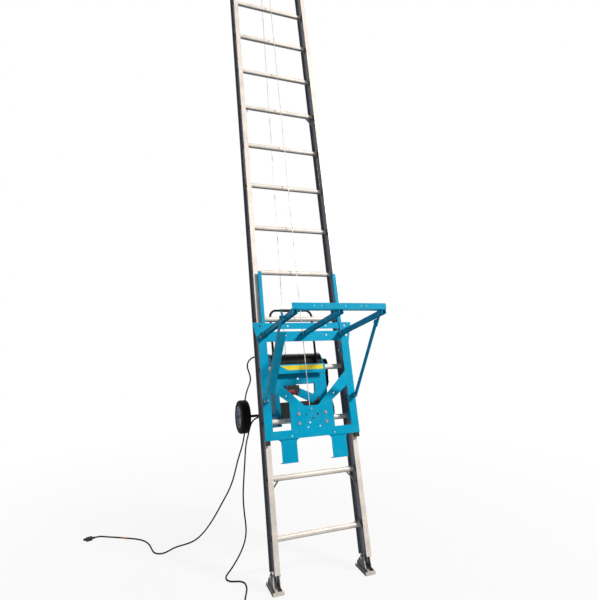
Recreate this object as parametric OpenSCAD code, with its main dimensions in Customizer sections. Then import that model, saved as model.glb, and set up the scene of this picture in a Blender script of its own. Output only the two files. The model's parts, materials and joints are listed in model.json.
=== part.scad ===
// Ladder material hoist: a leaning track ladder, a rope-drawn carriage with a folding
// platform, and a wheeled power unit that hooks on a rung behind the ladder.
// Millimetres. The ground is z = 0, the feet stand on the X axis, the ladder leans to +Y.

/* [Ladder] */
// Lean of the ladder from upright, in degrees
lean = 15; // [11:0.5:18]
// Distance from rung to rung
rung_pitch = 304.8; // [300:0.1:310]
// Height of the first rung along the rail
first_rung = 250; // [240:1:270]
// Distance between the webs of the two rails
rail_gap = 540; // [530:1:560]
// Depth of a rail, front to back
rail_depth = 100; // [94:1:104]
// Width of a rail flange
flange_w = 30; // [28:0.5:32]
// Thickness of a rail flange
flange_t = 4; // [3:0.5:5]
// Thickness of a rail web
web_t = 3; // [2.5:0.5:5]
// Lower end of the rails, along the rail
rail_foot = 50; // [48:1:58]
// Lower end of the flanges, along the rail
flange_foot = 86; // [82:1:94]
// Rail left above the top rung
rail_over = 152; // [120:1:200]
// Outer diameter of a rung
rung_d = 32; // [28:0.5:34]
// Wall of a rung tube
rung_wall = 2.5; // [1.5:0.25:4]
// Rung end left outside the web
rung_out = 8; // [6:0.5:10]
// Side of the square collar inside each web
collar_w = 40; // [38:0.5:42]
// Thickness of the collar
collar_t = 6; // [4:0.5:8]
// Length of a splice plate
splice_len = 240; // [220:1:244]
// Width of a splice plate
splice_w = 36; // [28:1:40]
// Thickness of a splice plate
splice_t = 4; // [3:0.5:6]
// Drop of a rung strut below its rung
strut_drop = 78; // [60:1:100]
// Reach of a rung strut in from the web
strut_reach = 66; // [55:1:90]

/* [Feet] */
// Pivot of a shoe, along the rail
shoe_pivot = 76; // [76:1:84]
// Width of a shoe
shoe_w = 62; // [58:1:70]
// Reach of a shoe in front of its pivot
shoe_front = 64; // [56:1:80]
// Reach of a shoe behind its pivot
shoe_back = 62; // [55:1:80]
// Thickness of the shoe metal
shoe_t = 4; // [3:0.5:5]
// Thickness of the rubber pad
pad_t = 10; // [7:0.5:11]
// Shoe pivot bolt
shoe_bolt_d = 12; // [10:0.5:14]

/* [Carriage] */
// Lower edge of the carriage plate along the ladder, at rest
carriage_at = 758; // [740:1:780]
// Thickness of the carriage plate
plate_t = 5; // [4:0.5:6]
// Space between the rail and the carriage plate
plate_stand = 25; // [23:0.5:30]
// Carriage plate beyond the rail web
plate_over = 22; // [18:1:26]
// Width of the side arms of the plate
arm_w = 50; // [44:1:54]
// Height of the carriage plate
plate_h = 672; // [668:1:690]
// Height of the bar along the lower edge
bar_h = 48; // [44:1:54]
// Half width of the floor of the V notch
notch_half = 42; // [30:1:50]
// Height of the floor of the V notch
notch_at = 176; // [174:1:186]
// Height where the V notch meets the arms
notch_top = 367; // [340:1:390]
// Inner edge of the windows
window_in = 136; // [128:1:150]
// Height of the windows at their inner edge
window_low = 199; // [170:1:205]
// Height of the windows at their outer edge
window_high = 282; // [250:1:290]
// Height of the lower cross plate
cross_h = 62; // [54:1:64]
// Lower edge of the lower cross plate above the plate edge
cross_at = 557; // [550:1:560]
// Height of the upper cross bar
top_bar_h = 38; // [30:1:40]
// Lower edge of the upper cross bar above the plate edge
top_bar_at = 633; // [626:1:636]
// Thickness of the cross plates
cross_t = 4; // [3:0.5:5]
// Top of the backrest uprights above the plate edge
upright_top = 998; // [900:1:1050]
// Width of a backrest upright
upright_w = 22; // [16:1:24]
// Inner edge of a landing foot
foot_in = 108; // [100:1:116]
// Width of a landing foot
foot_w = 93; // [80:1:96]
// Drop of a landing foot below the plate
foot_drop = 128; // [110:1:140]
// Depth of the lip under a landing foot
foot_lip = 36; // [25:1:40]
// Guide roller diameter
roller_d = 22; // [18:0.5:24]
// Guide roller width
roller_w = 10; // [8:0.5:10.5]
// Guide roller pin
roller_pin_d = 10; // [8:0.5:11]
// Height of the lower guide rollers above the plate edge
roller_low = 102; // [96:1:120]
// Height of the upper guide rollers above the plate edge
roller_high = 502; // [480:1:506]
// Running gap between rollers or pads and the rail
guide_gap = 0.4; // [0.3:0.05:0.6]

/* [Platform] */
// Height of the platform hinge above the plate edge
platform_at = 602; // [598:1:606]
// Platform hinge in front of the carriage plate
hinge_stand = 20; // [18:0.5:26]
// Length of a platform arm in front of its hinge
arm_len = 500; // [460:1:540]
// Width of a platform arm
arm_tube_w = 25; // [22:0.5:26]
// Depth of a platform arm
arm_tube_h = 25; // [22:0.5:26]
// Wall of a platform arm
arm_wall = 3; // [2:0.25:4]
// Height of the front lip above the arms
lip_h = 30; // [24:1:36]
// Depth of the foot of the front lip
lip_foot = 40; // [30:1:60]
// Thickness of the front lip
lip_t = 3; // [2:0.25:5]
// Half width of the front lip
lip_half = 265; // [260:1:275]
// Platform hinge pins
hinge_pin_d = 12; // [10:0.5:13]
// Thickness of a hinge lug
lug_t = 5; // [4:0.5:6]
// Stub pin that rests on the brace, in front of the hinge
stub_at = 375; // [350:1:385]
// Diameter of a stub pin
stub_d = 14; // [12:0.5:16]
// Height of the brace pivot above the plate edge
brace_at = 216; // [206:1:226]
// Brace pivot in front of the carriage plate
brace_stand = 25; // [23:0.5:30]
// Width of a brace
brace_w = 26; // [24:1:32]
// Thickness of a brace
brace_t = 5; // [4:0.5:6]
// Brace pivot pin
brace_pin_d = 12; // [10:0.5:14]

/* [Rope] */
// Diameter of the wire rope
rope_d = 5; // [4:0.5:5]
// Pitch radius of the head sheave
sheave_r = 65; // [60:1:70]
// Width of the sheave
sheave_w = 30; // [26:1:34]
// Sheave axle
sheave_axle_d = 16; // [12:0.5:20]
// Turns of rope left on the drum
rope_turns = 14; // [4:1:14]
// Gap between turns on the drum
turn_gap = 0.6; // [0.5:0.05:0.8]

/* [Power unit] */
// Number of the rung that carries the unit
unit_rung = 4; // [3:1:6]
// Outer face of the left side plate
unit_left = -186; // [-190:1:-182]
// Outer face of the right side plate
unit_right = 153; // [148:1:158]
// Thickness of the unit's plates
unit_t = 5; // [4:0.5:6]
// Drop of the unit below its rung
unit_drop = 335; // [325:1:350]
// Height of the front leg of the saddle
saddle_h = 55; // [50:1:60]
// Height of the front panel's top band below the rung
band_h = 91; // [84:1:96]
// Drum axis above the rung
drum_up = 30; // [26:1:34]
// Pitch radius of the rope on the drum
drum_r = 47.5; // [44:0.5:50]
// Radius of a drum flange
drum_flange_r = 70; // [62:1:72]
// Drum shaft
drum_shaft_d = 25; // [20:0.5:30]
// Space between a drum flange and the drum cover
cover_room = 5; // [4:0.5:8]
// Thickness of the drum cover
cover_t = 3; // [2:0.5:4]
// Motor axis behind the rung
motor_y = 130; // [128:1:136]
// Motor axis below the rung
motor_down = 248; // [244:1:252]
// Motor diameter
motor_d = 112; // [100:1:116]
// Length of the ribbed motor body
motor_len = 165; // [140:1:180]
// Jack shaft of the drum drive below the rung
jack_down = 73; // [68:1:78]
// Right leg of the carry handle
handle_right = 104; // [95:1:130]
// Top of the carry handle above the rung
handle_up = 376; // [350:1:420]
// Handle tube
handle_d = 14; // [12:0.5:16]
// Axle behind the rung
axle_y = 200; // [190:1:206]
// Axle below the rung
axle_down = 253; // [248:1:262]
// Axle diameter
axle_d = 16; // [14:0.5:18]
// Wheel diameter
wheel_d = 198; // [190:1:204]
// Wheel width
wheel_w = 56; // [48:1:58]
// Middle of the left wheel from the middle of the ladder
wheel_at = 341; // [339:1:350]
// Middle of the right wheel from the middle of the ladder
right_wheel_at = 205; // [204:1:212]
// Depth of the tyre from its tread to the rim
tyre_h = 36; // [30:0.5:42]

/* [Cords] */
// Diameter of the cords
cord_d = 9; // [7:0.5:11]
// Loops of the stored pendant lead
coil_loops = 5; // [3:1:7]
// Radius of the stored pendant lead
coil_r = 66; // [60:1:90]

/* [Hidden] */
$fn = 48;

// Fits
press_gap = 0.05;
run_gap = 0.05;
side_gap = 0.5;
seat_gap = 0.3;

// Ladder places
section_rungs = 8;
web_x = rail_gap / 2;
splice_at = first_rung + (section_rungs - 0.5) * rung_pitch;
top_rung = first_rung + (2 * section_rungs - 1) * rung_pitch;
rail_top = top_rung + rail_over;
rung_half = web_x + web_t / 2 + rung_out;
splice_bolt_d = 8;
splice_bolt_rows = [-90, -35, 35, 90];
struts_on = [2, 10];
strut_w = 20;
strut_t = 4;
tongue_w = 48;
function rung_z(number) = first_rung + (number - 1) * rung_pitch;
function to_world(p) = [p[0], p[1] * cos(lean) + p[2] * sin(lean), p[2] * cos(lean) - p[1] * sin(lean)];

// Shoe places
shoe_y = shoe_pivot * sin(lean);
shoe_z = shoe_pivot * cos(lean);
cheek_in = flange_w / 2 + 1.5;

// Carriage places
front_y = -rail_depth / 2 - plate_stand - plate_t;
back_y = front_y + plate_t;
half_w = web_x + plate_over;
arm_in = half_w - arm_w;
window_out = arm_in + 3;
ear = 28;
bracket_t = 5;
bracket_x = web_x - flange_w / 2 - 4 - bracket_t;
bracket_h = 80;
roller_y = -rail_depth / 2 + flange_t + roller_d / 2 + guide_gap;
roller_x = web_x - web_t / 2 - 1.5 - roller_w;
bracket_reach = roller_d / 2;
pad_w = 26;
pad_in = web_x - 6;
pad_h = 56;
pad_rows = [-24, 498];
sheave_y = 15;
rope_front_y = sheave_y - sheave_r;
anchor_at = notch_at - 17;
anchor_w = 24;
anchor_h = 30;
bolt_d = 8;
strap_w = 32;
strap_at = 58;
strap_h = 95;
// Bolts through the plate: across, above the lower edge
strap_bolts = [[84, 132], [84, 79]];
bolts = concat(strap_bolts, [[half_w - 14, cross_at + cross_h / 2]]);
corner_hole = [half_w - 14, plate_h - 20, 14];
cross_holes = [-120, 148];
top_bar_holes = [-100, 150];
anchor_stud_d = 12;
// Holes of the plate: across, above the lower edge, diameter
foot_hole = [foot_in + 25, 15, 9];
side_holes = [foot_hole, corner_hole, [window_in + 14, window_low + 40, 8]];
middle_holes = [
    [34, 124, 13], [5, 104, 13], [-17, 82, 13], [-37, 125, 8], [-31, 55, 9], [43, 57, 9]
];

// Platform places
arm_x = web_x - 20;
hinge_y = front_y - hinge_stand;
lug_gap = 0.6;
lug_r = 12;
brace_x = web_x + 9;
brace_y = front_y - brace_stand;
brace_lug_t = 6;
stub_y = hinge_y - stub_at;
brace_run = stub_y - brace_y;
brace_rise = platform_at - brace_at;
brace_len = sqrt(brace_run * brace_run + brace_rise * brace_rise);
brace_angle = atan2(brace_rise, brace_run);
brace_tip = 30;
// The wide end of a brace round its seat: width, and length below the stub pin
brace_head = 40;
head_run = 50;
// Flange of the left brace: width, thickness, space left at its lower and upper end
brace_flange = [36, 5];
flange_ends = [60, 80];
lip_holes = [-145, -105, 28, 120, 150];

// Rope places
sheave_rim = 7;
sheave_z = top_rung + rung_d / 2 + sheave_r + sheave_rim + 8;
cheek_t = 5;
cheek_x = sheave_w / 2 + side_gap;
groove_gap = 0.6;
rope_join = sheave_z - rope_d;

// Power unit places
unit_z = rung_z(unit_rung);
panel_y = rung_d / 2 + seat_gap;
panel_back = panel_y + unit_t;
unit_in_left = unit_left + unit_t;
unit_in_right = unit_right - unit_t;
drum_z = unit_z + drum_up;
motor_z = unit_z - motor_down;
axle_z = unit_z - axle_down;
saddle_left = unit_left - 12;
saddle_right = unit_right - 14;
panel_left_leg = 28;
panel_right_leg = 58;
rim_d = wheel_d - 2 * tyre_h;
turn_pitch = rope_d + turn_gap;
loop_rings = 24;
core_r = drum_r * cos(180 / loop_rings) - rope_d / 2 - seat_gap;
drum_flange_t = 6;
drum_gap = 7;
rope_land = unit_in_left + drum_gap + drum_flange_t + side_gap + rope_d / 2 + turn_pitch * (rope_turns + 1);
cover_r = drum_flange_r + cover_room + cover_t;
cover_clear = 2.7;
drum_y = panel_back + handle_d + cover_clear + cover_r;
box_left = unit_left + panel_left_leg;
box_right = 120;
box_depth = 42;
box_top = 197;
box_low = 300;
head_left = -126;
head_right = -42;
head_top = 104;
head_low = 158;
head_y = -20;
switch_x = -92;
switch_r = 11;
switch_w = 36;
switch_down = 141;
switch_in = 3;
switch_gap = 0.4;
gear_left = unit_in_right - 72;
gear_case = [50, 54];
train_t = 18;
train_half = 25;
case_depth = 50;
case_r = 42;
handle_bend = 40;
handle_y = panel_back + handle_d / 2;
handle_left = unit_in_left + handle_d / 2 + 1;
hub_w = wheel_w + 4;
hub_d = 36;
axle_cap = 6;
gland_nut = 10;
gland_len = 45;
gland_d = 22;
mains_gland = [110, 98];
pendant_gland = [120, -264];

// Height of a cord, and of the plug, lying on the ground
lie = cord_d / 2 + 0.5;
plug_d = 28;
plug_lie = plug_d / 2 + 0.5;
// A point on the axis of a gland, so far out from its end
function gland_point(place, out) =
    to_world([unit_left - gland_len - out, place[0], unit_z + place[1]]);
// Route of the mains lead: points beside the unit, then on the ground
mains_route = [
    gland_point(mains_gland, 0), gland_point(mains_gland, 25),
    [-284, 432, 1185], [-309, 429, 1165], [-319, 424, 1135], [-309, 419, 1104], [-297, 420, 1073],
    [-292, 436, 1038], [-297, 474, 998], [-300, 522, 945], [-301, 546, 875], [-302, 536, 800],
    [-309, 500, 725], [-328, 470, 660], [-350, 460, 605], [-369, 460, 545], [-385, 465, 465],
    [-410, 476, 385], [-446, 500, 310], [-487, 550, 200], [-535, 610, 95], [-585, 655, 28],
    [-640, 678, lie], [-700, 668, lie], [-740, 642, lie], [-767, 619, lie], [-797, 611, lie],
    [-825, 623, lie], [-842, 654, lie], [-848, 705, lie], [-857, 765, lie], [-883, 822, lie],
    [-928, 864, lie], [-985, 895, lie], [-1050, 935, lie], [-1108, 962, lie], [-1148, 968, plug_lie],
    [-1180, 960, plug_lie]
];
// Route of the pendant lead down to the stored coil
pendant_route = [
    gland_point(pendant_gland, 0), gland_point(pendant_gland, 25),
    [-279, 355, 832], [-296, 376, 811], [-301, 402, 780], [-303, 426, 740], [-310, 437, 695],
    [-322, 436, 648], [-328, 426, 565], [-338, 416, 460], [-346, 406, 345], [-335, 401, 240],
    [-324, 400, 165], [-330, 400, 105], [-351, 394, 52], [-385, 372, 14], [-420, 325, lie],
    [-450, 280, lie], [-475, 247, lie], [-490, 220, lie], [-490, 192, lie], [-474, 171, lie],
    [-449, 163, lie], [-425, 156, lie], [-407, 139, lie], [-402, 112, lie], [-408, 68, lie],
    [-430, 16, lie], [-450, -40, lie], [-459, -95, lie], [-460, -145, lie], [-460, -180, lie]
];
coil_x = -460 - coil_r;
coil_y = -190;
coil_step = cord_d + 0.8;
coil_lead = 76;

// Shared helpers
module on_ladder() {
    rotate([-lean, 0, 0]) children();
}
module on_carriage() {
    on_ladder() translate([0, 0, carriage_at]) children();
}
module on_unit() {
    on_ladder() translate([0, 0, unit_z]) children();
}
module both_sides() {
    children();
    mirror([1, 0, 0]) children();
}
// A plate drawn across and up, from y0 to y0 + t
module plate_xz(y0, t) {
    translate([0, y0 + t, 0]) rotate([90, 0, 0]) linear_extrude(t) children();
}
// A plate drawn back and up, from x0 to x0 + t
module plate_yz(x0, t) {
    translate([x0, 0, 0]) rotate([90, 0, 90]) linear_extrude(t) children();
}
// A round bar along X from x0 to x1
module bar_x(x0, x1, d, y = 0, z = 0) {
    translate([x0, y, z]) rotate([0, 90, 0]) cylinder(h = x1 - x0, d = d);
}
// A hexagonal bolt along +Y with its head at the front and its nut behind the grip
module bolt_y(d, grip) {
    rotate([-90, 0, 0]) {
        translate([0, 0, -0.6 * d]) cylinder(h = 0.6 * d, d = 1.9 * d, $fn = 6);
        cylinder(h = grip + 0.9 * d, d = d);
        translate([0, 0, grip]) cylinder(h = 0.7 * d, d = 1.9 * d, $fn = 6);
    }
}

// Ladder
module i_section() {
    translate([-web_t / 2, -rail_depth / 2]) square([web_t, rail_depth]);
    for (s = [-1, 1])
        translate([-flange_w / 2, s * (rail_depth - flange_t) / 2 - flange_t / 2]) square([flange_w, flange_t]);
}
// Space cut from the foot of a rail, which leaves a tongue of the web for the shoe
module foot_cut() {
    deep = rail_depth / 2 - tongue_w / 2;
    for (y = [-rail_depth / 2 - 1, tongue_w / 2])
        translate([-flange_w, y, rail_foot - 1]) cube([2 * flange_w, deep + 1, flange_foot - rail_foot + 1]);
}
module rail(z0, z1, first) {
    on_ladder() difference() {
        translate([0, 0, z0]) linear_extrude(z1 - z0) i_section();
        for (i = [0 : section_rungs - 1])
            bar_x(-web_t, web_t, rung_d + 2 * press_gap, 0, rung_z(first + i));
        for (row = splice_bolt_rows)
            bar_x(-web_t, web_t, splice_bolt_d + 2 * press_gap, 0, splice_at + row);
        if (first == 1) {
            bar_x(-web_t, web_t, shoe_bolt_d + 2 * press_gap, 0, shoe_pivot);
            foot_cut();
        }
    }
}
module lower_left_rail() {
    color("silver") translate([-web_x, 0, 0]) rail(rail_foot, splice_at, 1);
}
module lower_right_rail() {
    color("silver") translate([web_x, 0, 0]) rail(rail_foot, splice_at, 1);
}
module upper_left_rail() {
    color("gainsboro") translate([-web_x, 0, 0]) rail(splice_at, rail_top, section_rungs + 1);
}
module upper_right_rail() {
    color("gainsboro") translate([web_x, 0, 0]) rail(splice_at, rail_top, section_rungs + 1);
}
// A rung tube with a square collar inside each web and a swaged bead outside
module rung() {
    bead = 4;
    inner = web_x - web_t / 2;
    difference() {
        union() {
            bar_x(-rung_half, rung_half, rung_d);
            both_sides() {
                translate([inner - collar_t, -collar_w / 2, -collar_w / 2])
                    cube([collar_t, collar_w, collar_w]);
                bar_x(inner + web_t, inner + web_t + bead, rung_d + 6);
            }
        }
        bar_x(-rung_half - 1, rung_half + 1, rung_d - 2 * rung_wall);
    }
}
module rungs() {
    color("lightgray") on_ladder() for (number = [1 : 2 * section_rungs])
        translate([0, 0, rung_z(number)]) rung();
}
// A flat strut from under a rung down to the web, cut to both
module strut() {
    inner = web_x - web_t / 2;
    run = strut_reach;
    slope = atan2(strut_drop, run);
    length = norm([run, strut_drop]);
    difference() {
        translate([inner - run, 0, 0]) rotate([0, slope, 0])
            translate([0, -strut_w / 2, -strut_t / 2]) cube([length + 20, strut_w, strut_t]);
        bar_x(-web_x, web_x, rung_d + 2 * press_gap);
        translate([inner, -strut_w, -2 * strut_drop]) cube([strut_reach, 2 * strut_w, 4 * strut_drop]);
    }
}
module rung_struts() {
    color("darkgray") on_ladder() for (number = struts_on)
        translate([0, 0, rung_z(number)]) both_sides() strut();
}
module splice_plates() {
    color("dimgray") on_ladder() both_sides() for (side = [-1, 1])
        translate([web_x + side * (web_t + splice_t) / 2, 0, splice_at]) difference() {
            cube([splice_t, splice_w, splice_len], center = true);
            for (row = splice_bolt_rows)
                bar_x(-splice_t, splice_t, splice_bolt_d + 2 * press_gap, 0, row);
        }
}
// Splice bolts through web and plates, and the pivot bolts of the shoes
module ladder_bolts() {
    grip = web_t / 2 + splice_t;
    head = 5;
    color("slategray") on_ladder() both_sides() {
        for (row = splice_bolt_rows) translate([web_x, 0, splice_at + row]) {
            bar_x(-grip, grip, splice_bolt_d);
            for (x = [-grip - head, grip]) translate([x, 0, 0]) rotate([0, 90, 0])
                cylinder(h = head, d = 1.8 * splice_bolt_d, $fn = 6);
        }
        translate([web_x, 0, shoe_pivot]) {
            reach = cheek_in + shoe_t + seat_gap;
            bar_x(-reach, reach, shoe_bolt_d);
            for (x = [-reach - 7, reach]) translate([x, 0, 0]) rotate([0, 90, 0])
                cylinder(h = 7, d = 1.8 * shoe_bolt_d, $fn = 6);
        }
    }
}

// Feet
module shoe_outline() {
    base = pad_t - shoe_z;
    circle(d = 2 * shoe_bolt_d + 18);
    polygon([
        [-shoe_front, base], [shoe_back, base], [shoe_back, base + 14], [shoe_bolt_d + 9, 0],
        [-shoe_bolt_d - 9, 0], [-shoe_front + 26, base + 22], [-shoe_front, base + 22]
    ]);
}
// Two cheeks outside the flanges on a base plate, with a lip in front of the pad
module shoe() {
    lip_low = 3;
    lip_up = 8;
    color("gray") translate([web_x, shoe_y, shoe_z]) {
        difference() {
            union() {
                for (x = [-cheek_in - shoe_t, cheek_in]) plate_yz(x, shoe_t) shoe_outline();
                translate([-shoe_w / 2, -shoe_front, pad_t - shoe_z])
                    cube([shoe_w, shoe_front + shoe_back, shoe_t]);
                translate([-shoe_w / 2, -shoe_front, lip_low - shoe_z])
                    cube([shoe_w, shoe_t, pad_t + shoe_t + lip_up - lip_low]);
            }
            bar_x(-shoe_w, shoe_w, shoe_bolt_d + 2 * run_gap);
        }
    }
}
// Rubber pad with cross grooves in its tread
module shoe_pad() {
    groove = 6;
    color("black") translate([web_x, shoe_y, 0]) difference() {
        translate([-shoe_w / 2, -shoe_front + shoe_t, 0])
            cube([shoe_w, shoe_front + shoe_back - shoe_t, pad_t]);
        for (y = [-shoe_front + 20 : 24 : shoe_back - 12])
            translate([-shoe_w, y, -1]) cube([2 * shoe_w, groove, 3.5]);
    }
}
module left_shoe() {
    mirror([1, 0, 0]) shoe();
}
module right_shoe() {
    shoe();
}
module left_shoe_pad() {
    mirror([1, 0, 0]) shoe_pad();
}
module right_shoe_pad() {
    shoe_pad();
}

// Head of the ladder
// Two cheeks clamped round the top two rungs, with the sheave axle above
module sheave_bracket() {
    low = top_rung - rung_pitch;
    color("steelblue") on_ladder() both_sides() plate_yz(cheek_x, cheek_t) difference() {
        union() {
            polygon([
                [-rung_d / 2 - 12, low - 30], [rung_d / 2 + 12, low - 30], [rung_d / 2 + 12, top_rung],
                [sheave_y + 26, sheave_z], [sheave_y - 26, sheave_z], [-rung_d / 2 - 12, top_rung]
            ]);
            translate([sheave_y, sheave_z]) circle(r = 26);
        }
        for (z = [low, top_rung]) translate([0, z]) circle(d = rung_d + 2 * press_gap);
        translate([sheave_y, sheave_z]) circle(d = sheave_axle_d + 2 * press_gap);
    }
}
module sheave_axle() {
    reach = cheek_x + cheek_t;
    color("slategray") on_ladder() translate([0, sheave_y, sheave_z]) {
        bar_x(-reach, reach, sheave_axle_d);
        for (x = [-reach - 8, reach]) translate([x, 0, 0]) rotate([0, 90, 0])
            cylinder(h = 8, d = 1.7 * sheave_axle_d, $fn = 6);
    }
}
module rope_sheave() {
    root = sheave_r - rope_d / 2 - groove_gap;
    rim = sheave_r + sheave_rim;
    half = sheave_w / 2;
    floor_half = rope_d / 2 + groove_gap;
    color("goldenrod") on_ladder() translate([0, sheave_y, sheave_z]) rotate([0, 90, 0])
        rotate_extrude() polygon([
            [sheave_axle_d / 2 + run_gap, -half], [sheave_axle_d / 2 + 8, -half], [root - 10, -half + 7],
            [root - 8, -half + 3], [rim, -half + 3], [root, -floor_half], [root, floor_half],
            [rim, half - 3], [root - 8, half - 3], [root - 10, half - 7],
            [sheave_axle_d / 2 + 8, half], [sheave_axle_d / 2 + run_gap, half]
        ]);
}
// Front strand, from the carriage up to the sheave
module rope_front() {
    foot = carriage_at + anchor_at + anchor_h / 2;
    color("lightslategray") on_ladder() translate([0, rope_front_y, foot])
        cylinder(h = rope_join - foot, d = rope_d);
}
// Rope over the sheave and down behind the rungs to the drum
rear_points = concat(
    [[0, rope_front_y, rope_join]],
    [for (a = [0 : 10 : 180]) [0, sheave_y - sheave_r * cos(a), sheave_z + sheave_r * sin(a)]],
    [[rope_land, drum_y - drum_r, drum_z]]);
module rope_rear() {
    color("lightslategray") on_ladder() tube(rear_points, rope_d, 8);
}

// Carriage
module plate_outline() {
    difference() {
        union() {
            translate([-half_w, 0]) square([2 * half_w, plate_h]);
            both_sides() polygon([
                [half_w - 1, cross_at - 20], [half_w + ear, plate_h - 12], [half_w + ear, plate_h],
                [half_w - 1, plate_h]
            ]);
        }
        polygon([
            [-notch_half, notch_at], [notch_half, notch_at], [arm_in, notch_top], [arm_in, plate_h + 1],
            [-arm_in, plate_h + 1], [-arm_in, notch_top]
        ]);
        both_sides() polygon([
            [window_in, bar_h], [window_out, bar_h], [window_out, window_high], [window_in, window_low]
        ]);
        for (hole = middle_holes) translate([hole[0], hole[1]]) circle(d = hole[2]);
        for (s = [-1, 1], hole = side_holes) translate([s * hole[0], hole[1]]) circle(d = hole[2]);
        for (s = [-1, 1], bolt = bolts) translate([s * bolt[0], bolt[1]]) circle(d = bolt_d + 2 * press_gap);
        translate([0, anchor_at]) circle(d = anchor_stud_d + 2 * press_gap);
    }
}
module carriage_plate() {
    color("deepskyblue") on_carriage() plate_xz(front_y, plate_t) plate_outline();
}
// Two plates across the back of the arms, and two straps behind the middle of the plate
module cross_plates() {
    color("steelblue") on_carriage() plate_xz(back_y, cross_t) difference() {
        union() {
            for (row = [[cross_at, cross_h], [top_bar_at, top_bar_h]])
                translate([-half_w + 4, row[0]]) square([2 * half_w - 8, row[1]]);
            for (s = [-1, 1]) translate([s * strap_bolts[0][0] - strap_w / 2, strap_at]) square([strap_w, strap_h]);
        }
        for (s = [-1, 1], bolt = bolts) translate([s * bolt[0], bolt[1]]) circle(d = bolt_d + 2 * press_gap);
        for (x = cross_holes) translate([x, cross_at + cross_h / 2 + 6]) circle(d = 11);
        for (x = top_bar_holes) translate([x, top_bar_at + top_bar_h / 2]) circle(d = 11);
        for (s = [-1, 1]) translate([s * corner_hole[0], corner_hole[1]]) circle(d = corner_hole[2]);
    }
}
// Backrest posts of angle section behind the cross plates
module uprights() {
    leg = plate_stand - cross_t - 3;
    angle_t = 4;
    color("deepskyblue") on_carriage() both_sides()
        translate([arm_in - 2, back_y + cross_t, cross_at]) {
            cube([upright_w, angle_t, upright_top - cross_at]);
            cube([angle_t, leg, upright_top - cross_at]);
        }
}
// Bent feet welded behind the lower bar, with fillets under the plate edge
module landing_feet() {
    fillet = 22;
    top = bar_h - 6;
    color("deepskyblue") on_carriage() both_sides() {
        plate_xz(back_y, cross_t) difference() {
            union() {
                translate([foot_in, -foot_drop]) square([foot_w, foot_drop + top]);
                translate([foot_in - fillet, 0]) square([foot_w + 2 * fillet, top]);
                for (s = [0, 1]) translate([foot_in + s * foot_w + (s - 1) * fillet, -fillet])
                    square([fillet, fillet]);
            }
            for (s = [-1, 1]) translate([foot_in + foot_w / 2 + s * (foot_w / 2 + fillet), -fillet])
                circle(r = fillet);
            translate([foot_hole[0], foot_hole[1]]) circle(d = foot_hole[2]);
        }
        translate([foot_in, back_y, -foot_drop]) cube([foot_w, foot_lip, cross_t]);
    }
}
// Plates that reach back past the flange tips to carry the guide rollers
module roller_brackets() {
    color("deepskyblue") on_carriage() both_sides() for (z = [roller_low, roller_high])
        plate_yz(bracket_x, bracket_t) difference() {
            polygon([
                [back_y, z - bracket_h / 2], [roller_y, z - bracket_reach], [roller_y + bracket_reach, z - 6],
                [roller_y + bracket_reach, z + 6], [roller_y, z + bracket_reach], [back_y, z + bracket_h / 2]
            ]);
            translate([roller_y, z]) circle(d = roller_pin_d + 2 * press_gap);
        }
}
module roller_pins() {
    color("slategray") on_carriage() both_sides() for (z = [roller_low, roller_high])
        translate([0, roller_y, z]) {
            bar_x(bracket_x - 6, bracket_x, 1.6 * roller_pin_d);
            bar_x(bracket_x, roller_x + roller_w, roller_pin_d);
            bar_x(bracket_x + bracket_t, roller_x - seat_gap, roller_pin_d + 4);
        }
}
module roller(z) {
    color("dimgray") on_carriage() difference() {
        bar_x(roller_x, roller_x + roller_w, roller_d, roller_y, z);
        bar_x(roller_x - 1, roller_x + roller_w + 1, roller_pin_d + 2 * run_gap, roller_y, z);
    }
}
module roller_low_left() {
    mirror([1, 0, 0]) roller(roller_low);
}
module roller_low_right() {
    roller(roller_low);
}
module roller_high_left() {
    mirror([1, 0, 0]) roller(roller_high);
}
module roller_high_right() {
    roller(roller_high);
}
module glide_pads() {
    depth = plate_stand - guide_gap;
    color("black") on_carriage() both_sides() for (z = pad_rows)
        translate([pad_in, back_y, z]) cube([pad_w, depth, pad_h]);
}
module carriage_bolts() {
    color("slategray") on_carriage() for (s = [-1, 1], bolt = bolts)
        translate([s * bolt[0], front_y, bolt[1]]) bolt_y(bolt_d, plate_t + cross_t);
}
// Block that holds the rope end behind the plate, on a stud that ends inside its hole
module rope_anchor() {
    depth = rope_front_y - back_y + rope_d / 2 + 8;
    sunk = 2;
    color("slategray") on_carriage() {
        translate([0, front_y + sunk, anchor_at]) rotate([-90, 0, 0])
            cylinder(h = plate_t - sunk + 4, d = anchor_stud_d);
        translate([-anchor_w / 2, back_y, anchor_at - anchor_h / 2]) cube([anchor_w, depth, anchor_h]);
    }
}
// Lugs in front of the plate for the platform arms and the braces
module hinge_lugs() {
    color("steelblue") on_carriage() {
        for (x = [-arm_x, 0, arm_x], s = [-1, 1]) {
            lug_x = x + s * (arm_tube_w / 2 + lug_gap + lug_t / 2);
            seat = abs(lug_x) - lug_t / 2 > arm_in ? front_y : back_y;
            plate_yz(lug_x - lug_t / 2, lug_t) difference() {
                union() {
                    translate([hinge_y, platform_at]) circle(r = lug_r);
                    translate([hinge_y, platform_at - lug_r]) square([seat - hinge_y, 2 * lug_r]);
                }
                translate([hinge_y, platform_at]) circle(d = hinge_pin_d + 2 * press_gap);
            }
        }
        both_sides() plate_yz(brace_x - lug_gap - brace_lug_t, brace_lug_t) difference() {
            union() {
                translate([brace_y, brace_at]) circle(r = 16);
                translate([brace_y, brace_at - 16]) square([front_y - brace_y, 32]);
            }
            translate([brace_y, brace_at]) circle(d = brace_pin_d + 2 * press_gap);
        }
    }
}
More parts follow.
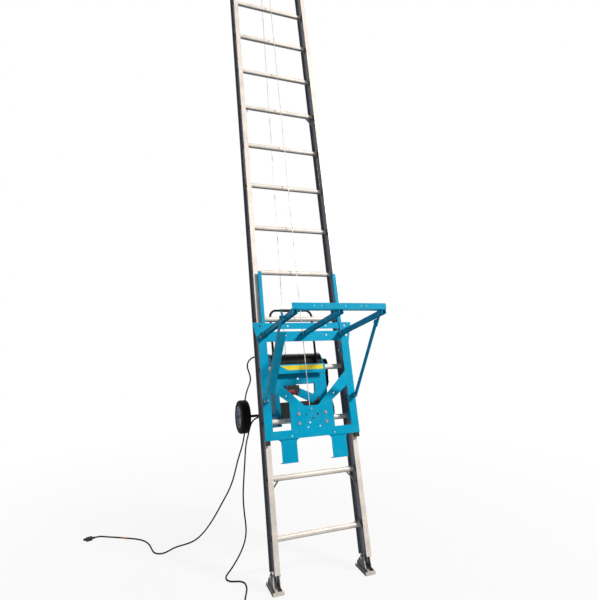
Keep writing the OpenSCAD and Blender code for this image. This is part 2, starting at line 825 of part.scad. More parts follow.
module hinge_pins() {
    reach = arm_tube_w / 2 + lug_gap + lug_t;
    color("slategray") on_carriage() {
        for (x = [-arm_x, 0, arm_x]) translate([x, hinge_y, platform_at]) {
            bar_x(-reach, reach, hinge_pin_d);
            for (s = [-reach - 4, reach]) bar_x(s, s + 4, hinge_pin_d + 6);
        }
        both_sides() translate([0, brace_y, brace_at]) {
            bar_x(brace_x - lug_gap - brace_lug_t, brace_x + brace_t + seat_gap, brace_pin_d);
            bar_x(brace_x - lug_gap - brace_lug_t - 5, brace_x - lug_gap - brace_lug_t, brace_pin_d + 7);
            bar_x(brace_x + brace_t + seat_gap, brace_x + brace_t + seat_gap + 5, brace_pin_d + 7);
        }
    }
}

// Platform
module on_platform() {
    on_carriage() translate([0, hinge_y, platform_at]) children();
}
// A channel open below, round at its hinge end
module platform_arm(x) {
    top = arm_tube_h / 2;
    on_platform() difference() {
        translate([x, 0, 0]) plate_yz(-arm_tube_w / 2, arm_tube_w) {
            circle(r = top);
            translate([-arm_len, -top]) square([arm_len, arm_tube_h]);
        }
        translate([x - arm_tube_w / 2 + arm_wall, -arm_len - 1, -top - 1])
            cube([arm_tube_w - 2 * arm_wall, arm_len + arm_tube_h, arm_tube_h + 1 - arm_wall]);
        bar_x(x - arm_tube_w, x + arm_tube_w, hinge_pin_d + 2 * run_gap);
    }
}
// A headed stub pin on the outer wall of a side arm
module stub_pin() {
    head = 4;
    outer = brace_x + brace_t + lug_gap;
    on_platform() {
        bar_x(arm_x + arm_tube_w / 2 - arm_wall, outer, stub_d, -stub_at, 0);
        bar_x(outer, outer + head, stub_d + 6, -stub_at, 0);
    }
}
module left_arm() {
    color("royalblue") {
        platform_arm(-arm_x);
        mirror([1, 0, 0]) stub_pin();
    }
}
module middle_arm() {
    color("royalblue") platform_arm(0);
}
module right_arm() {
    color("royalblue") {
        platform_arm(arm_x);
        stub_pin();
    }
}
// Angle across the front ends of the arms
module front_lip() {
    top = arm_tube_h / 2;
    color("deepskyblue") on_platform() difference() {
        union() {
            translate([-lip_half, -arm_len, top]) cube([2 * lip_half, lip_foot, lip_t]);
            translate([-lip_half, -arm_len - lip_t, top - 2]) cube([2 * lip_half, lip_t, lip_h + 2]);
        }
        for (x = lip_holes) translate([x, -arm_len - 2 * lip_t, top + lip_h / 2])
            rotate([-90, 0, 0]) cylinder(h = 3 * lip_t, d = 6);
    }
}
// A flat brace whose upper end is a seat, open upward and backward, for the stub pin
module brace() {
    seat_y = stub_y - stub_d / 2 - side_gap;
    seat_z = platform_at - stub_d / 2 - side_gap;
    on_carriage() plate_yz(brace_x, brace_t) difference() {
        translate([brace_y, brace_at]) {
            circle(d = brace_w);
            rotate(brace_angle) {
                translate([0, -brace_w / 2]) square([brace_len, brace_w]);
                translate([brace_len - head_run, -brace_head / 2])
                    square([head_run + brace_tip, brace_head]);
            }
        }
        translate([brace_y, brace_at]) circle(d = brace_pin_d + 2 * run_gap);
        translate([seat_y, seat_z]) square([100, 100]);
    }
}
// The left brace is an angle: a flange stands on its front edge and points to the middle
module left_brace() {
    color("dodgerblue") mirror([1, 0, 0]) {
        brace();
        on_carriage() plate_yz(brace_x - brace_flange[0], brace_flange[0] + brace_t)
            translate([brace_y, brace_at]) rotate(brace_angle)
                translate([flange_ends[0], brace_w / 2 - brace_flange[1]])
                    square([brace_len - flange_ends[0] - flange_ends[1], brace_flange[1]]);
    }
}
module right_brace() {
    color("dodgerblue") brace();
}

// Power unit
// Folded bar over the rung: a leg in front, a top, and a short leg on the panel
module saddle_bar() {
    inside = rung_d / 2 + seat_gap;
    color("deepskyblue") on_unit() plate_yz(saddle_left, saddle_right - saddle_left) difference() {
        translate([-inside - unit_t, inside + unit_t - saddle_h]) square([2 * inside + unit_t, saddle_h]);
        translate([-inside, -saddle_h]) square([3 * inside, saddle_h + inside]);
    }
}
// Panel behind the rung: a top band, two legs, and a slanting strap with a window above it
module front_panel() {
    top = rung_d / 2 + seat_gap + unit_t;
    leg_in = unit_left + panel_left_leg;
    right_in = unit_right - panel_right_leg;
    color("deepskyblue") on_unit() plate_xz(panel_y, unit_t) difference() {
        translate([unit_left, -unit_drop]) square([unit_right - unit_left, unit_drop + top]);
        translate([0, -band_h]) polygon([[-53, 0], [73, 0], [75, -48], [57, -66], [-27, -27]]);
        polygon([
            [leg_in, -unit_drop - 1], [leg_in, -band_h - 16], [48, -band_h - 120],
            [right_in, -band_h - 80], [right_in, -unit_drop - 1]
        ]);
        translate([-32, -62]) circle(d = 12);
    }
}
module side_outline() {
    union() {
        polygon([
            [panel_back, -unit_drop], [panel_back, drum_up], [drum_y + cover_r, drum_up],
            [axle_y + 26, -axle_down + 60], [axle_y + 26, -axle_down - 26], [axle_y - 40, -unit_drop]
        ]);
        translate([drum_y, drum_up]) circle(r = cover_r + 2);
    }
}
// Two plates that carry the drum shaft and the axle, tied by a round bar
module side_plates() {
    tie = [axle_y - 12, -70];
    color("steelblue") on_unit() {
        for (x = [unit_left, unit_in_right]) plate_yz(x, unit_t) difference() {
            side_outline();
            translate([drum_y, drum_up]) circle(d = drum_shaft_d + 2 * run_gap);
            translate([axle_y, -axle_down]) circle(d = axle_d + 2 * press_gap);
        }
        bar_x(unit_in_left, unit_in_right, 16, tie[0], tie[1]);
    }
}
// Half-round cover between the side plates, with a slot for the rope
module drum_cover() {
    color("black") on_unit() difference() {
        plate_yz(unit_in_left, unit_in_right - unit_in_left) translate([drum_y, drum_up]) difference() {
            circle(r = cover_r);
            circle(r = cover_r - cover_t);
            translate([-2 * cover_r, -2 * cover_r]) square([4 * cover_r, 2 * cover_r]);
        }
        translate([rope_land - 9, drum_y - drum_r - 9, drum_up]) cube([18, 18, 2 * cover_r]);
    }
}
// Bent tube welded to the back of the panel
module carry_handle() {
    foot = -60;
    bend_z = handle_up - handle_bend - handle_d / 2;
    color("darkslategray") on_unit() translate([0, handle_y, 0]) {
        for (x = [handle_left, handle_right]) translate([x, 0, foot]) cylinder(h = bend_z - foot, d = handle_d);
        bar_x(handle_left + handle_bend, handle_right - handle_bend, handle_d, 0, bend_z + handle_bend);
        for (end = [[handle_left + handle_bend, 90], [handle_right - handle_bend, 0]])
            translate([end[0], 0, bend_z]) rotate([90, 0, 0]) rotate(end[1]) rotate_extrude(angle = 90)
                translate([handle_bend, 0]) circle(d = handle_d, $fn = 24);
    }
}
module drum() {
    left = unit_in_left + drum_gap;
    right = unit_in_right - drum_gap;
    color("gray") on_unit() translate([0, drum_y, drum_up]) {
        bar_x(left, right, 2 * core_r);
        for (x = [left, right - drum_flange_t]) bar_x(x, x + drum_flange_t, 2 * drum_flange_r);
        bar_x(unit_left - 8, unit_right - 0.5, drum_shaft_d);
    }
}

// A tube of given sides through a list of points, closed at both ends
function unit_vector(v) = v / norm(v);
function tangent(p, i) = unit_vector(p[min(i + 1, len(p) - 1)] - p[max(i - 1, 0)]);
function side_of(t) = unit_vector(abs(t[2]) > 0.9 ? cross(t, [1, 0, 0]) : cross(t, [0, 0, 1]));
function carried(n, t) = unit_vector(n - t * (n * t));
function frames(p, i = 0, n = undef, out = []) =
    i == len(p) ? out
    : let (t = tangent(p, i), m = i == 0 ? side_of(t) : carried(n, t)) frames(p, i + 1, m, concat(out, [[t, m]]));
module tube(points, d, sides) {
    f = frames(points);
    count = len(points);
    rings = [for (i = [0 : count - 1], k = [0 : sides - 1])
        let (a = 360 * k / sides, u = f[i][1], v = cross(f[i][0], f[i][1]))
            points[i] + (cos(a) * u + sin(a) * v) * d / 2];
    walls = [for (i = [0 : count - 2], k = [0 : sides - 1])
        let (a = i * sides + k, b = i * sides + (k + 1) % sides) each [[a, a + sides, b], [b, a + sides, b + sides]]];
    last = (count - 1) * sides;
    ends = [for (k = [1 : sides - 2]) each [[0, k, k + 1], [last, last + k + 1, last + k]]];
    polyhedron(rings, concat(walls, ends), convexity = 10);
}
// Length along a list of points
function run_length(p, i = 1) = i >= len(p) ? 0 : norm(p[i] - p[i - 1]) + run_length(p, i + 1);
// Least gap between stretches of one tube that are more than skip points apart
function self_gap(p, skip, d) = min([for (i = [0 : len(p) - 1 - skip], j = [i + skip : len(p) - 1])
    norm(p[i] - p[j])]) - d;

// Turns of rope left on the drum, one tube wound over the core
winding_points = [for (k = [0 : loop_rings * rope_turns])
    let (turn = k / loop_rings, a = 360 * turn)
        [rope_land - turn_pitch * (1 + turn), drum_y - drum_r * cos(a), drum_up + drum_r * sin(a)]];
module rope_winding() {
    color("lightslategray") on_unit() tube(winding_points, rope_d, 6);
}

// Motor with cooling ribs on a gear case, whose gear train rises inside the right plate
module gear_motor() {
    ribs = 20;
    rib_ends = [22, 23];
    cap = 28;
    left = gear_left - motor_len;
    color("dimgray") on_unit() translate([0, motor_y, -motor_down]) {
        difference() {
            bar_x(left, gear_left, motor_d);
            for (i = [0 : ribs - 1]) rotate([i * 360 / ribs, 0, 0])
                translate([left + rib_ends[0], motor_d / 2 - 6, -4])
                    cube([motor_len - rib_ends[0] - rib_ends[1], 10, 8]);
        }
        bar_x(left - cap, left, motor_d - 10);
        translate([gear_left, -gear_case[0], -gear_case[1]])
            cube([unit_in_right - gear_left, 2 * gear_case[0], 2 * gear_case[1]]);
        translate([unit_in_right - train_t, -train_half, 0])
            cube([train_t, 2 * train_half, motor_down - jack_down + train_half]);
    }
}
// Case over the chain from the jack shaft to the drum, outside the right plate
module chain_case() {
    color("dimgray") on_unit() plate_yz(unit_right, case_depth) hull() {
        translate([motor_y, -jack_down]) circle(r = case_r, $fn = 32);
        translate([drum_y, drum_up]) circle(r = case_r, $fn = 32);
    }
}
// Wiring box behind the legs of the panel, and the switch head in front of its strap
module control_box() {
    color("black") on_unit() {
        translate([box_left, panel_back, -box_low])
            cube([box_right - box_left, box_depth, box_low - box_top]);
        difference() {
            translate([head_left, head_y, -head_low])
                cube([head_right - head_left, panel_y - head_y, head_low - head_top]);
            bar_x(switch_x - switch_w / 2 - switch_gap, switch_x + switch_w / 2 + switch_gap,
                2 * (switch_r + switch_gap), head_y + switch_in, -switch_down);
        }
    }
}
module rocker_switch() {
    proud = 6;
    size = [2 * switch_w, 2 * switch_r, 2 * switch_r];
    color("red") on_unit() translate([switch_x, head_y + switch_in, -switch_down]) difference() {
        bar_x(-switch_w / 2, switch_w / 2, 2 * switch_r);
        for (s = [-1, 1]) rotate([s * 12, 0, 0])
            translate([-switch_w, -2 * switch_r - proud, s > 0 ? -2 * switch_r : 0]) cube(size);
    }
}
// Axle with a collar on both sides of each hub
module wheel_axle() {
    reach = hub_w / 2 + side_gap;
    color("slategray") on_unit() translate([0, axle_y, -axle_down]) {
        bar_x(-wheel_at - reach, right_wheel_at + reach, axle_d);
        for (x = [-wheel_at, right_wheel_at], side = [-reach - axle_cap, reach])
            bar_x(x + side, x + side + axle_cap, axle_d + 10);
    }
}
// Tyre with round shoulders and two tread grooves
module tyre(at) {
    shoulder = 12;
    r = wheel_d / 2;
    half = wheel_w / 2;
    color("black") on_unit() translate([at, axle_y, -axle_down]) rotate([0, 90, 0]) rotate_extrude() difference() {
        union() {
            translate([rim_d / 2, -half]) square([r - shoulder - rim_d / 2, wheel_w]);
            translate([rim_d / 2, -half + shoulder]) square([r - rim_d / 2, wheel_w - 2 * shoulder]);
            for (s = [-1, 1]) translate([r - shoulder, s * (half - shoulder)]) circle(r = shoulder);
        }
        for (s = [-1, 1]) translate([r - 4, s * 6 - 1.5]) square([5, 3]);
    }
}
// Dished rim with hub and round holes
module rim(at) {
    holes = 5;
    half = wheel_w / 2;
    dish = [half - 18, 6];
    color("gainsboro") on_unit() translate([at, axle_y, -axle_down]) rotate([0, 90, 0]) difference() {
        rotate_extrude() union() {
            translate([rim_d / 2 - 6, -half + 2]) square([6, wheel_w - 4]);
            translate([axle_d / 2 + run_gap, dish[0]]) square([rim_d / 2 - axle_d / 2 - 1, dish[1]]);
            translate([axle_d / 2 + run_gap, -hub_w / 2]) square([(hub_d - axle_d) / 2, hub_w]);
        }
        for (i = [0 : holes - 1]) rotate(i * 360 / holes) translate([(rim_d + hub_d) / 4 - 2, 0, -half])
            cylinder(h = wheel_w, d = 22);
    }
}
module left_tyre() {
    mirror([1, 0, 0]) tyre(wheel_at);
}
module left_rim() {
    mirror([1, 0, 0]) rim(wheel_at);
}
module right_tyre() {
    tyre(right_wheel_at);
}
module right_rim() {
    rim(right_wheel_at);
}

// Cords
// Gland nuts on the left plate, each with a tapered sleeve
module cord_glands() {
    color("black") on_unit() for (place = [mains_gland, pendant_gland]) {
        bar_x(unit_left - gland_nut, unit_left, gland_d, place[0], place[1]);
        translate([unit_left - gland_nut, place[0], place[1]]) rotate([0, -90, 0])
            cylinder(h = gland_len - gland_nut, d1 = gland_d - 5, d2 = cord_d + 2);
    }
}
module mains_cord() {
    color("black") tube(mains_route, cord_d, 8);
}
module pendant_cord() {
    color("black") tube(pendant_route, cord_d, 8);
}
// Stored pendant lead: spirals in on the ground, climbs a layer and spirals out again
function climb(t) = t <= 0 ? 0 : t >= 1 ? 1 : t * t * (3 - 2 * t);
function coil_point(a) =
    let (r = coil_r - coil_step * min(a, coil_loops - a), z = lie + coil_step * climb(2 * (a - coil_loops / 2) + 0.5))
        [coil_x + r * cos(-360 * a), coil_y + r * sin(-360 * a), z];
coil_points = concat(
    [[coil_x + coil_r, pendant_route[len(pendant_route) - 1][1], lie]],
    [for (k = [0 : loop_rings * coil_loops]) coil_point(k / loop_rings)],
    [for (y = [coil_lead / 3, 2 * coil_lead / 3, coil_lead]) [coil_x + coil_r, coil_y - y, lie + coil_step]]);
module pendant_coil() {
    color("black") tube(coil_points, cord_d, 6);
}
module mains_plug() {
    tip = mains_route[len(mains_route) - 1];
    run = tip - mains_route[len(mains_route) - 2];
    color("black") translate(tip) rotate([0, 0, atan2(run[1], run[0])]) {
        bar_x(0, 16, cord_d + 5);
        bar_x(16, 50, plug_d);
        for (y = [-7, 5]) translate([50, y, -3]) cube([16, 2, 6]);
        bar_x(50, 68, 5, 0, 8);
    }
}
// Handset with a sleeve for its lead and two round keys
module pendant() {
    thick = 2 * (lie + coil_step);
    color("black") translate([coil_x + coil_r, coil_y - coil_lead, lie + coil_step]) {
        rotate([90, 0, 0]) cylinder(h = 24, d = cord_d + 5);
        translate([-21, -144, -thick / 2]) cube([42, 120, thick]);
        for (y = [-70, -105]) translate([0, y, thick / 2]) cylinder(h = 5, d = 22);
    }
}

echo(mains_lead_length = run_length(mains_route));
echo(pendant_lead_length = run_length(pendant_route) + run_length(coil_points));
echo(winding_gap = self_gap(winding_points, loop_rings / 2 + 1, rope_d));
echo(coil_gap = self_gap(coil_points, loop_rings / 2 + 1, cord_d));

lower_left_rail();
lower_right_rail();
upper_left_rail();
upper_right_rail();
rungs();
rung_struts();
splice_plates();
ladder_bolts();
left_shoe();
right_shoe();
left_shoe_pad();
right_shoe_pad();
sheave_bracket();
sheave_axle();
rope_sheave();
rope_front();
rope_rear();
carriage_plate();
cross_plates();
uprights();
landing_feet();
roller_brackets();
glide_pads();
roller_pins();
carriage_bolts();
rope_anchor();
hinge_lugs();
hinge_pins();
roller_low_left();
roller_low_right();
roller_high_left();
roller_high_right();
left_arm();
middle_arm();
right_arm();
front_lip();
left_brace();
right_brace();
saddle_bar();
front_panel();
side_plates();
drum_cover();
carry_handle();
drum();
rope_winding();
gear_motor();
chain_case();
control_box();
rocker_switch();
wheel_axle();
left_tyre();
left_rim();
right_tyre();
right_rim();
cord_glands();
mains_cord();
mains_plug();
pendant_cord();
pendant_coil();
pendant();
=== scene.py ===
"""Finishes, ropes, leads and stage of a ladder material hoist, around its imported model."""

import json
import math
from functools import partial, wraps

import bmesh
import bpy
from mathutils import Matrix, Vector


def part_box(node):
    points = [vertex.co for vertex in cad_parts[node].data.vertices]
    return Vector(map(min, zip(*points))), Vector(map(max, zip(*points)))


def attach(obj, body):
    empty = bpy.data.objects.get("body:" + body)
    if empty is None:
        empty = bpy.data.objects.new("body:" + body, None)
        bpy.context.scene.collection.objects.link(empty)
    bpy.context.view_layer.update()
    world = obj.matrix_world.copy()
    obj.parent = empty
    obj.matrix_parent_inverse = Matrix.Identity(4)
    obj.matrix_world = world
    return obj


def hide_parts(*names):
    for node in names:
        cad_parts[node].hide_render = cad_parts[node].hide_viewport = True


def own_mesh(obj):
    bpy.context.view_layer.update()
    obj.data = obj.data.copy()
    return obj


bl_info = {
    "name": "Ladder material hoist",
    "version": (1, 0, 0),
    "blender": (4, 5, 0),
    "location": "View3D > Sidebar > Hoist",
    "description": "Dresses the packed hoist with finishes, ropes, leads and a stage",
    "category": "Object",
}

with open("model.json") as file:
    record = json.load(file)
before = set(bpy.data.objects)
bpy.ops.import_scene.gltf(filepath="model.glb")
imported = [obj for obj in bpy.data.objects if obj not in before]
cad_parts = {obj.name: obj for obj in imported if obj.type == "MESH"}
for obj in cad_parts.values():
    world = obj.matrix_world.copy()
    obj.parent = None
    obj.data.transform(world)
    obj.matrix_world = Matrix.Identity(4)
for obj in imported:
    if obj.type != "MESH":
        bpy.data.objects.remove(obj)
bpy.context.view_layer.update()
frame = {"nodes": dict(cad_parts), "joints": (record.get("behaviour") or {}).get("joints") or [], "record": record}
NODES = frame["nodes"]
JOINTS = {joint["name"]: joint for joint in frame["joints"]}
MM = 0.001

# The slide runs along the ladder, so its axis gives the lean.
SLIDE_AXIS = Vector(JOINTS["carriage_slide"]["axis"]).normalized()
LEAN = math.atan2(SLIDE_AXIS.y, SLIDE_AXIS.z)
TO_WORLD = Matrix.Rotation(-LEAN, 3, "X")
TO_LADDER = TO_WORLD.transposed()


def on_ladder(x, y, z):
    """A point given across, behind and along the ladder, in metres, as a point of the frame."""
    return TO_WORLD @ Vector((x, y, z))


def box_on_ladder(vertices):
    """Lowest and highest corner of some vertices, across, behind and along the ladder."""
    places = [TO_LADDER @ vertex.co for vertex in vertices]
    return [Vector(pick(place[axis] for place in places) for axis in range(3)) for pick in (min, max)]


def ladder_box(node):
    """Lowest and highest corner of a node, across, behind and along the ladder."""
    return box_on_ladder(NODES[node].data.vertices)


def joint_on_ladder(name):
    """The place of a joint, across, behind and along the ladder."""
    return TO_LADDER @ Vector(JOINTS[name]["pos_m"])


def linear(text):
    """A linear RGBA colour from an sRGB hex value."""
    parts = [int(text[i : i + 2], 16) / 255 for i in (1, 3, 5)]
    return [c / 12.92 if c <= 0.04045 else ((c + 0.055) / 1.055) ** 2.4 for c in parts] + [1.0]


def colour(text, name, description):
    """A colour property that starts at an sRGB hex value."""
    return bpy.props.FloatVectorProperty(
        name=name, description=description, subtype="COLOR", size=4, min=0, max=1, default=linear(text)
    )


def number(default, name, description, unit="NONE", subtype="NONE"):
    """A number property with its unit."""
    return bpy.props.FloatProperty(
        name=name, description=description, default=default, unit=unit, subtype=subtype
    )


class HoistFinish(bpy.types.PropertyGroup):
    """Colours of the finishes."""

    blue: colour("#00A3CD", "Blue coat", "Powder coat of the carriage, platform and unit")
    aluminium: colour("#EFE5DB", "Aluminium", "Mill finish of rails and rungs")
    # This tone is also painted shade, on the rail webs, the rung ends and undersides, and the shoe sides.
    web_oxide_and_shade: colour("#6A6E79", "Rail web", "Dull oxide on the webs of the rails")
    black: colour("#121316", "Black coat", "Black enamel of cover, handle and case")
    zinc: colour("#96989B", "Zinc plate", "Plated bolts, pins and axles")
    strip: colour("#F0DA2E", "Yellow strip", "Plain strip on the saddle bar")
    rubber: colour("#111112", "Rubber", "Leads, pads and tyres")


class HoistRope(bpy.types.PropertyGroup):
    """Sizes of the wire rope."""

    diameter: number(5 * MM, "Diameter", "Diameter of the wire rope", "LENGTH")
    lay: number(36 * MM, "Lay", "Length in which a strand goes once round", "LENGTH")
    pitch: number(5.6 * MM, "Pitch", "Step from turn to turn on the drum", "LENGTH")


class HoistLead(bpy.types.PropertyGroup):
    """Sizes of the two leads."""

    diameter: number(9 * MM, "Diameter", "Diameter of the leads", "LENGTH")
    coil_radius: number(66 * MM, "Coil radius", "Outer radius of the stored coil", "LENGTH")
    coil_loops: bpy.props.IntProperty(
        name="Coil loops", description="Loops of the stored coil", default=5, min=3, max=7
    )


class HoistStage(bpy.types.PropertyGroup):
    """Camera and light."""

    camera_at: bpy.props.FloatVectorProperty(
        name="Camera",
        description="Place of the camera",
        subtype="XYZ",
        size=3,
        default=(-1.064, -2.3733, 1.459),
    )
    yaw: number(math.radians(21.17), "Yaw", "Turn of the camera to the right", subtype="ANGLE")
    pitch: number(math.radians(1.587), "Pitch", "Tilt of the camera upward", subtype="ANGLE")
    focal_pixels: number(470, "Focal length", "Focal length in pixels of the picture")
    picture_height: number(600, "Picture height", "Height of the picture in pixels")
    key: number(730, "Key light", "Power of the light at the front right", "POWER")
    fill: number(8, "Fill light", "Power of the light at the left", "POWER")
    back: number(160, "Back light", "Power of the light at the back right", "POWER")
    sky: number(0.16, "Sky", "Strength of the pale surroundings")


# Materials

NOISE = "ShaderNodeTexNoise"
RANGE = "ShaderNodeMapRange"
MIX = ("ShaderNodeMix", {"data_type": "RGBA"}, 2)
TIMES = ("ShaderNodeMath", {"operation": "MULTIPLY"})
LARGER = ("ShaderNodeMath", {"operation": "MAXIMUM"})
SIZE = ("ShaderNodeMath", {"operation": "ABSOLUTE"})


def add_node(tree, kind, settings=None, output=0, **inputs):
    """A new shader node with its settings, and inputs given as values or as sockets to link from.
    An input named i and a number is found by its place. Gives the asked output."""
    node = tree.nodes.new(kind)
    for name, value in (settings or {}).items():
        setattr(node, name, value)
    for name, value in inputs.items():
        by_place = name[0] == "i" and name[1:].isdigit()
        socket = node.inputs[int(name[1:]) if by_place else name.replace("_", " ")]
        if isinstance(value, bpy.types.NodeSocket):
            tree.links.new(value, socket)
        else:
            socket.default_value = value
    return node.outputs[output] if node.outputs else None


def new_material(name):
    """An empty material: itself, what adds a node to it, and the place on the piece."""
    material = bpy.data.materials.new(name)
    material.use_nodes = True
    material.node_tree.nodes.clear()
    node = partial(add_node, material.node_tree)
    return material, node, node("ShaderNodeTexCoord", output="Object")


def per_metre(size_mm):
    """A texture scale that repeats about once in this many millimetres."""
    return 1000 / size_mm


def shade(value, factor):
    """A colour made lighter or darker."""
    return [min(1.0, c * factor) for c in value[:3]] + [1.0]


def recipe(finish):
    """Makes a whole material, by its name, of a finish that says what goes to the shader."""

    @wraps(finish)
    def make(name, *values, **options):
        material, node, place = new_material(name)
        shader = node("ShaderNodeBsdfPrincipled", **finish(node, place, *values, **options))
        node("ShaderNodeOutputMaterial", Surface=shader)
        return material

    return make


@recipe
def coated_steel(node, place, base, roughness, wear, bare, shine=0.07):
    """Powder-coated steel: sprayed and baked, so it has a faint orange peel, a soft gloss, dusty
    patches, painted shade in its corners, and steel or primer that shows where edges were knocked."""
    cloud = node(NOISE, Vector=place, Scale=per_metre(140), Detail=3)
    cloud = node(RANGE, Value=cloud, From_Min=0.3, From_Max=0.7)
    body = node(*MIX, i0=cloud, i6=shade(base, 0.93), i7=shade(base, 1.06))
    dust = node(NOISE, Vector=place, Scale=per_metre(45), Detail=6)
    dust = node(RANGE, Value=dust, From_Min=0.52, From_Max=0.8, To_Max=0.05)
    body = node(*MIX, i0=dust, i6=body, i7=linear("#B7AFA2"))
    # Painted shade: a darker copy of the coat, laid by ambient occlusion where corners close in.
    open_share = node("ShaderNodeAmbientOcclusion", {"samples": 6}, "AO", Distance=22 * MM)
    painted_corner_shade = node(RANGE, Value=open_share, From_Min=0.75, From_Max=0.35, To_Max=0.45)
    body = node(*MIX, i0=painted_corner_shade, i6=body, i7=shade(base, 0.22))
    rounded = node("ShaderNodeBevel", {"samples": 4}, Radius=1.6 * MM)
    flat = node("ShaderNodeNewGeometry", output="Normal")
    likeness = node("ShaderNodeVectorMath", {"operation": "DOT_PRODUCT"}, "Value", i0=rounded, i1=flat)
    edge = node(RANGE, Value=likeness, From_Min=0.995, From_Max=0.85, To_Max=wear)
    knocks = node(NOISE, Vector=place, Scale=per_metre(9), Detail=5)
    knocks = node(RANGE, Value=knocks, From_Min=0.5, From_Max=0.62)
    body = node(*MIX, i0=node(*TIMES, i0=edge, i1=knocks), i6=body, i7=bare)
    gloss = node(NOISE, Vector=place, Scale=per_metre(30), Detail=4)
    smooth, rough = roughness - 0.07, roughness + 0.1
    gloss = node(RANGE, Value=gloss, From_Min=0.3, From_Max=0.7, To_Min=smooth, To_Max=rough)
    peel = node(NOISE, Vector=place, Scale=per_metre(2.2), Detail=2)
    relief = node("ShaderNodeBump", Height=peel, Distance=0.12 * MM, Strength=0.35)
    return dict(Base_Color=body, Roughness=gloss, Normal=relief, IOR=1.5, Specular_IOR_Level=shine)


@recipe
def extruded_aluminium(
    node, place, base, oxide_and_shade, along=(1.0, 1.0, 1.0), between=None, ends=None, sides=0.0, under=0.0
):
    """Mill-finish aluminium: drawn through a die, so fine lines run along it, with dull oxidised
    clouds and scuffs, and so matt that little of it mirrors. It also carries painted shade in its
    dark tone: between two depths inside a rail's flanges, past the ends of a rung's tread, and by
    a share on faces that look sideways or down. The lines are drawn coarser than they are, to show."""
    laid = node("ShaderNodeMapping", Vector=place, Rotation=(LEAN, 0, 0))
    drawn = node("ShaderNodeVectorMath", {"operation": "MULTIPLY"}, i0=laid, i1=along)
    lines = node(NOISE, Vector=drawn, Scale=per_metre(2.5), Detail=4, Roughness=0.7)
    clouds = node(NOISE, Vector=place, Scale=per_metre(90), Detail=5)
    darkened = node(RANGE, Value=clouds, From_Min=0.4, From_Max=0.8, To_Min=0.02, To_Max=0.35)
    # Painted shade inside a rail's flanges, between two depths: on the web and the inner faces.
    if between:
        depth = node("ShaderNodeSeparateXYZ", output="Y", Vector=laid)
        behind = node(RANGE, Value=depth, From_Min=between[0], From_Max=between[0] + MM)
        before = node(RANGE, Value=depth, From_Min=between[1], From_Max=between[1] - MM, To_Max=0.95)
        darkened = node(*LARGER, i0=node(*TIMES, i0=behind, i1=before), i1=darkened)
    # Painted shade on a rung's ends, past its tread, beside the rails.
    if ends:
        across = node(*SIZE, i0=node("ShaderNodeSeparateXYZ", output="X", Vector=place))
        past = node(RANGE, Value=across, From_Min=ends, From_Max=ends + MM, To_Max=0.95)
        darkened = node(*LARGER, i0=past, i1=darkened)
    # Painted shade, by a share, on faces that look sideways.
    if sides:
        facing = node("ShaderNodeNewGeometry", output="Normal")
        aside = node(*SIZE, i0=node("ShaderNodeSeparateXYZ", output="X", Vector=facing))
        aside = node(RANGE, Value=aside, From_Min=0.6, From_Max=0.9, To_Max=sides)
        darkened = node(*LARGER, i0=aside, i1=darkened)
    # Painted shade, by a share, on faces that look down.
    if under:
        facing = node("ShaderNodeNewGeometry", output="Normal")
        below = node("ShaderNodeSeparateXYZ", output="Z", Vector=facing)
        below = node(RANGE, Value=below, From_Min=-0.5, From_Max=-0.75, To_Max=under)
        darkened = node(*LARGER, i0=below, i1=darkened)
    # The dark tone goes on by the share above: oxidised clouds, and painted shade where the masks add it.
    body = node(*MIX, i0=darkened, i6=base, i7=oxide_and_shade)
    grooves = node(RANGE, Value=lines, From_Min=0.45, From_Max=0.7, To_Max=0.25)
    body = node(*MIX, i0=grooves, i6=body, i7=shade(oxide_and_shade, 1.5))
    gloss = node(RANGE, Value=lines, From_Min=0.2, From_Max=0.8, To_Min=0.34, To_Max=0.52)
    relief = node("ShaderNodeBump", Height=lines, Distance=0.06 * MM, Strength=0.4)
    return dict(Base_Color=body, Roughness=gloss, Normal=relief, Metallic=0.15, Specular_IOR_Level=0.25)


@recipe
def plated_steel(node, place, base, roughness=0.3):
    """Zinc-plated steel: tumbled and dipped, so a soft grey shine with pale bloom and small pits,
    which are drawn coarser than they are, to show."""
    bloom = node(NOISE, Vector=place, Scale=per_metre(12), Detail=5)
    bloom = node(RANGE, Value=bloom, From_Min=0.35, From_Max=0.75)
    body = node(*MIX, i0=bloom, i6=shade(base, 0.8), i7=shade(base, 1.1))
    gloss = node(NOISE, Vector=place, Scale=per_metre(5), Detail=4)
    smooth, rough = roughness - 0.06, roughness + 0.18
    gloss = node(RANGE, Value=gloss, From_Min=0.25, From_Max=0.75, To_Min=smooth, To_Max=rough)
    pits = node(NOISE, Vector=place, Scale=per_metre(1.4), Detail=3)
    relief = node("ShaderNodeBump", Height=pits, Distance=0.05 * MM, Strength=0.4)
    return dict(Base_Color=body, Roughness=gloss, Normal=relief, Metallic=1.0)


@recipe
def drawn_wire(node, place, base):
    """Galvanised wire rope: drawn wires laid in strands, pale, with patches dulled by grease and
    dust. The wires are drawn coarser than they are, to show."""
    grease = node(NOISE, Vector=place, Scale=per_metre(60), Detail=5)
    grease = node(RANGE, Value=grease, From_Min=0.4, From_Max=0.7)
    body = node(*MIX, i0=grease, i6=base, i7=shade(base, 0.5))
    gloss = node(RANGE, Value=grease, To_Min=0.38, To_Max=0.6)
    wires = node(NOISE, Vector=place, Scale=per_metre(1.0), Detail=2)
    relief = node("ShaderNodeBump", Height=wires, Distance=0.08 * MM, Strength=0.5)
    return dict(Base_Color=body, Roughness=gloss, Normal=relief, Metallic=0.9)


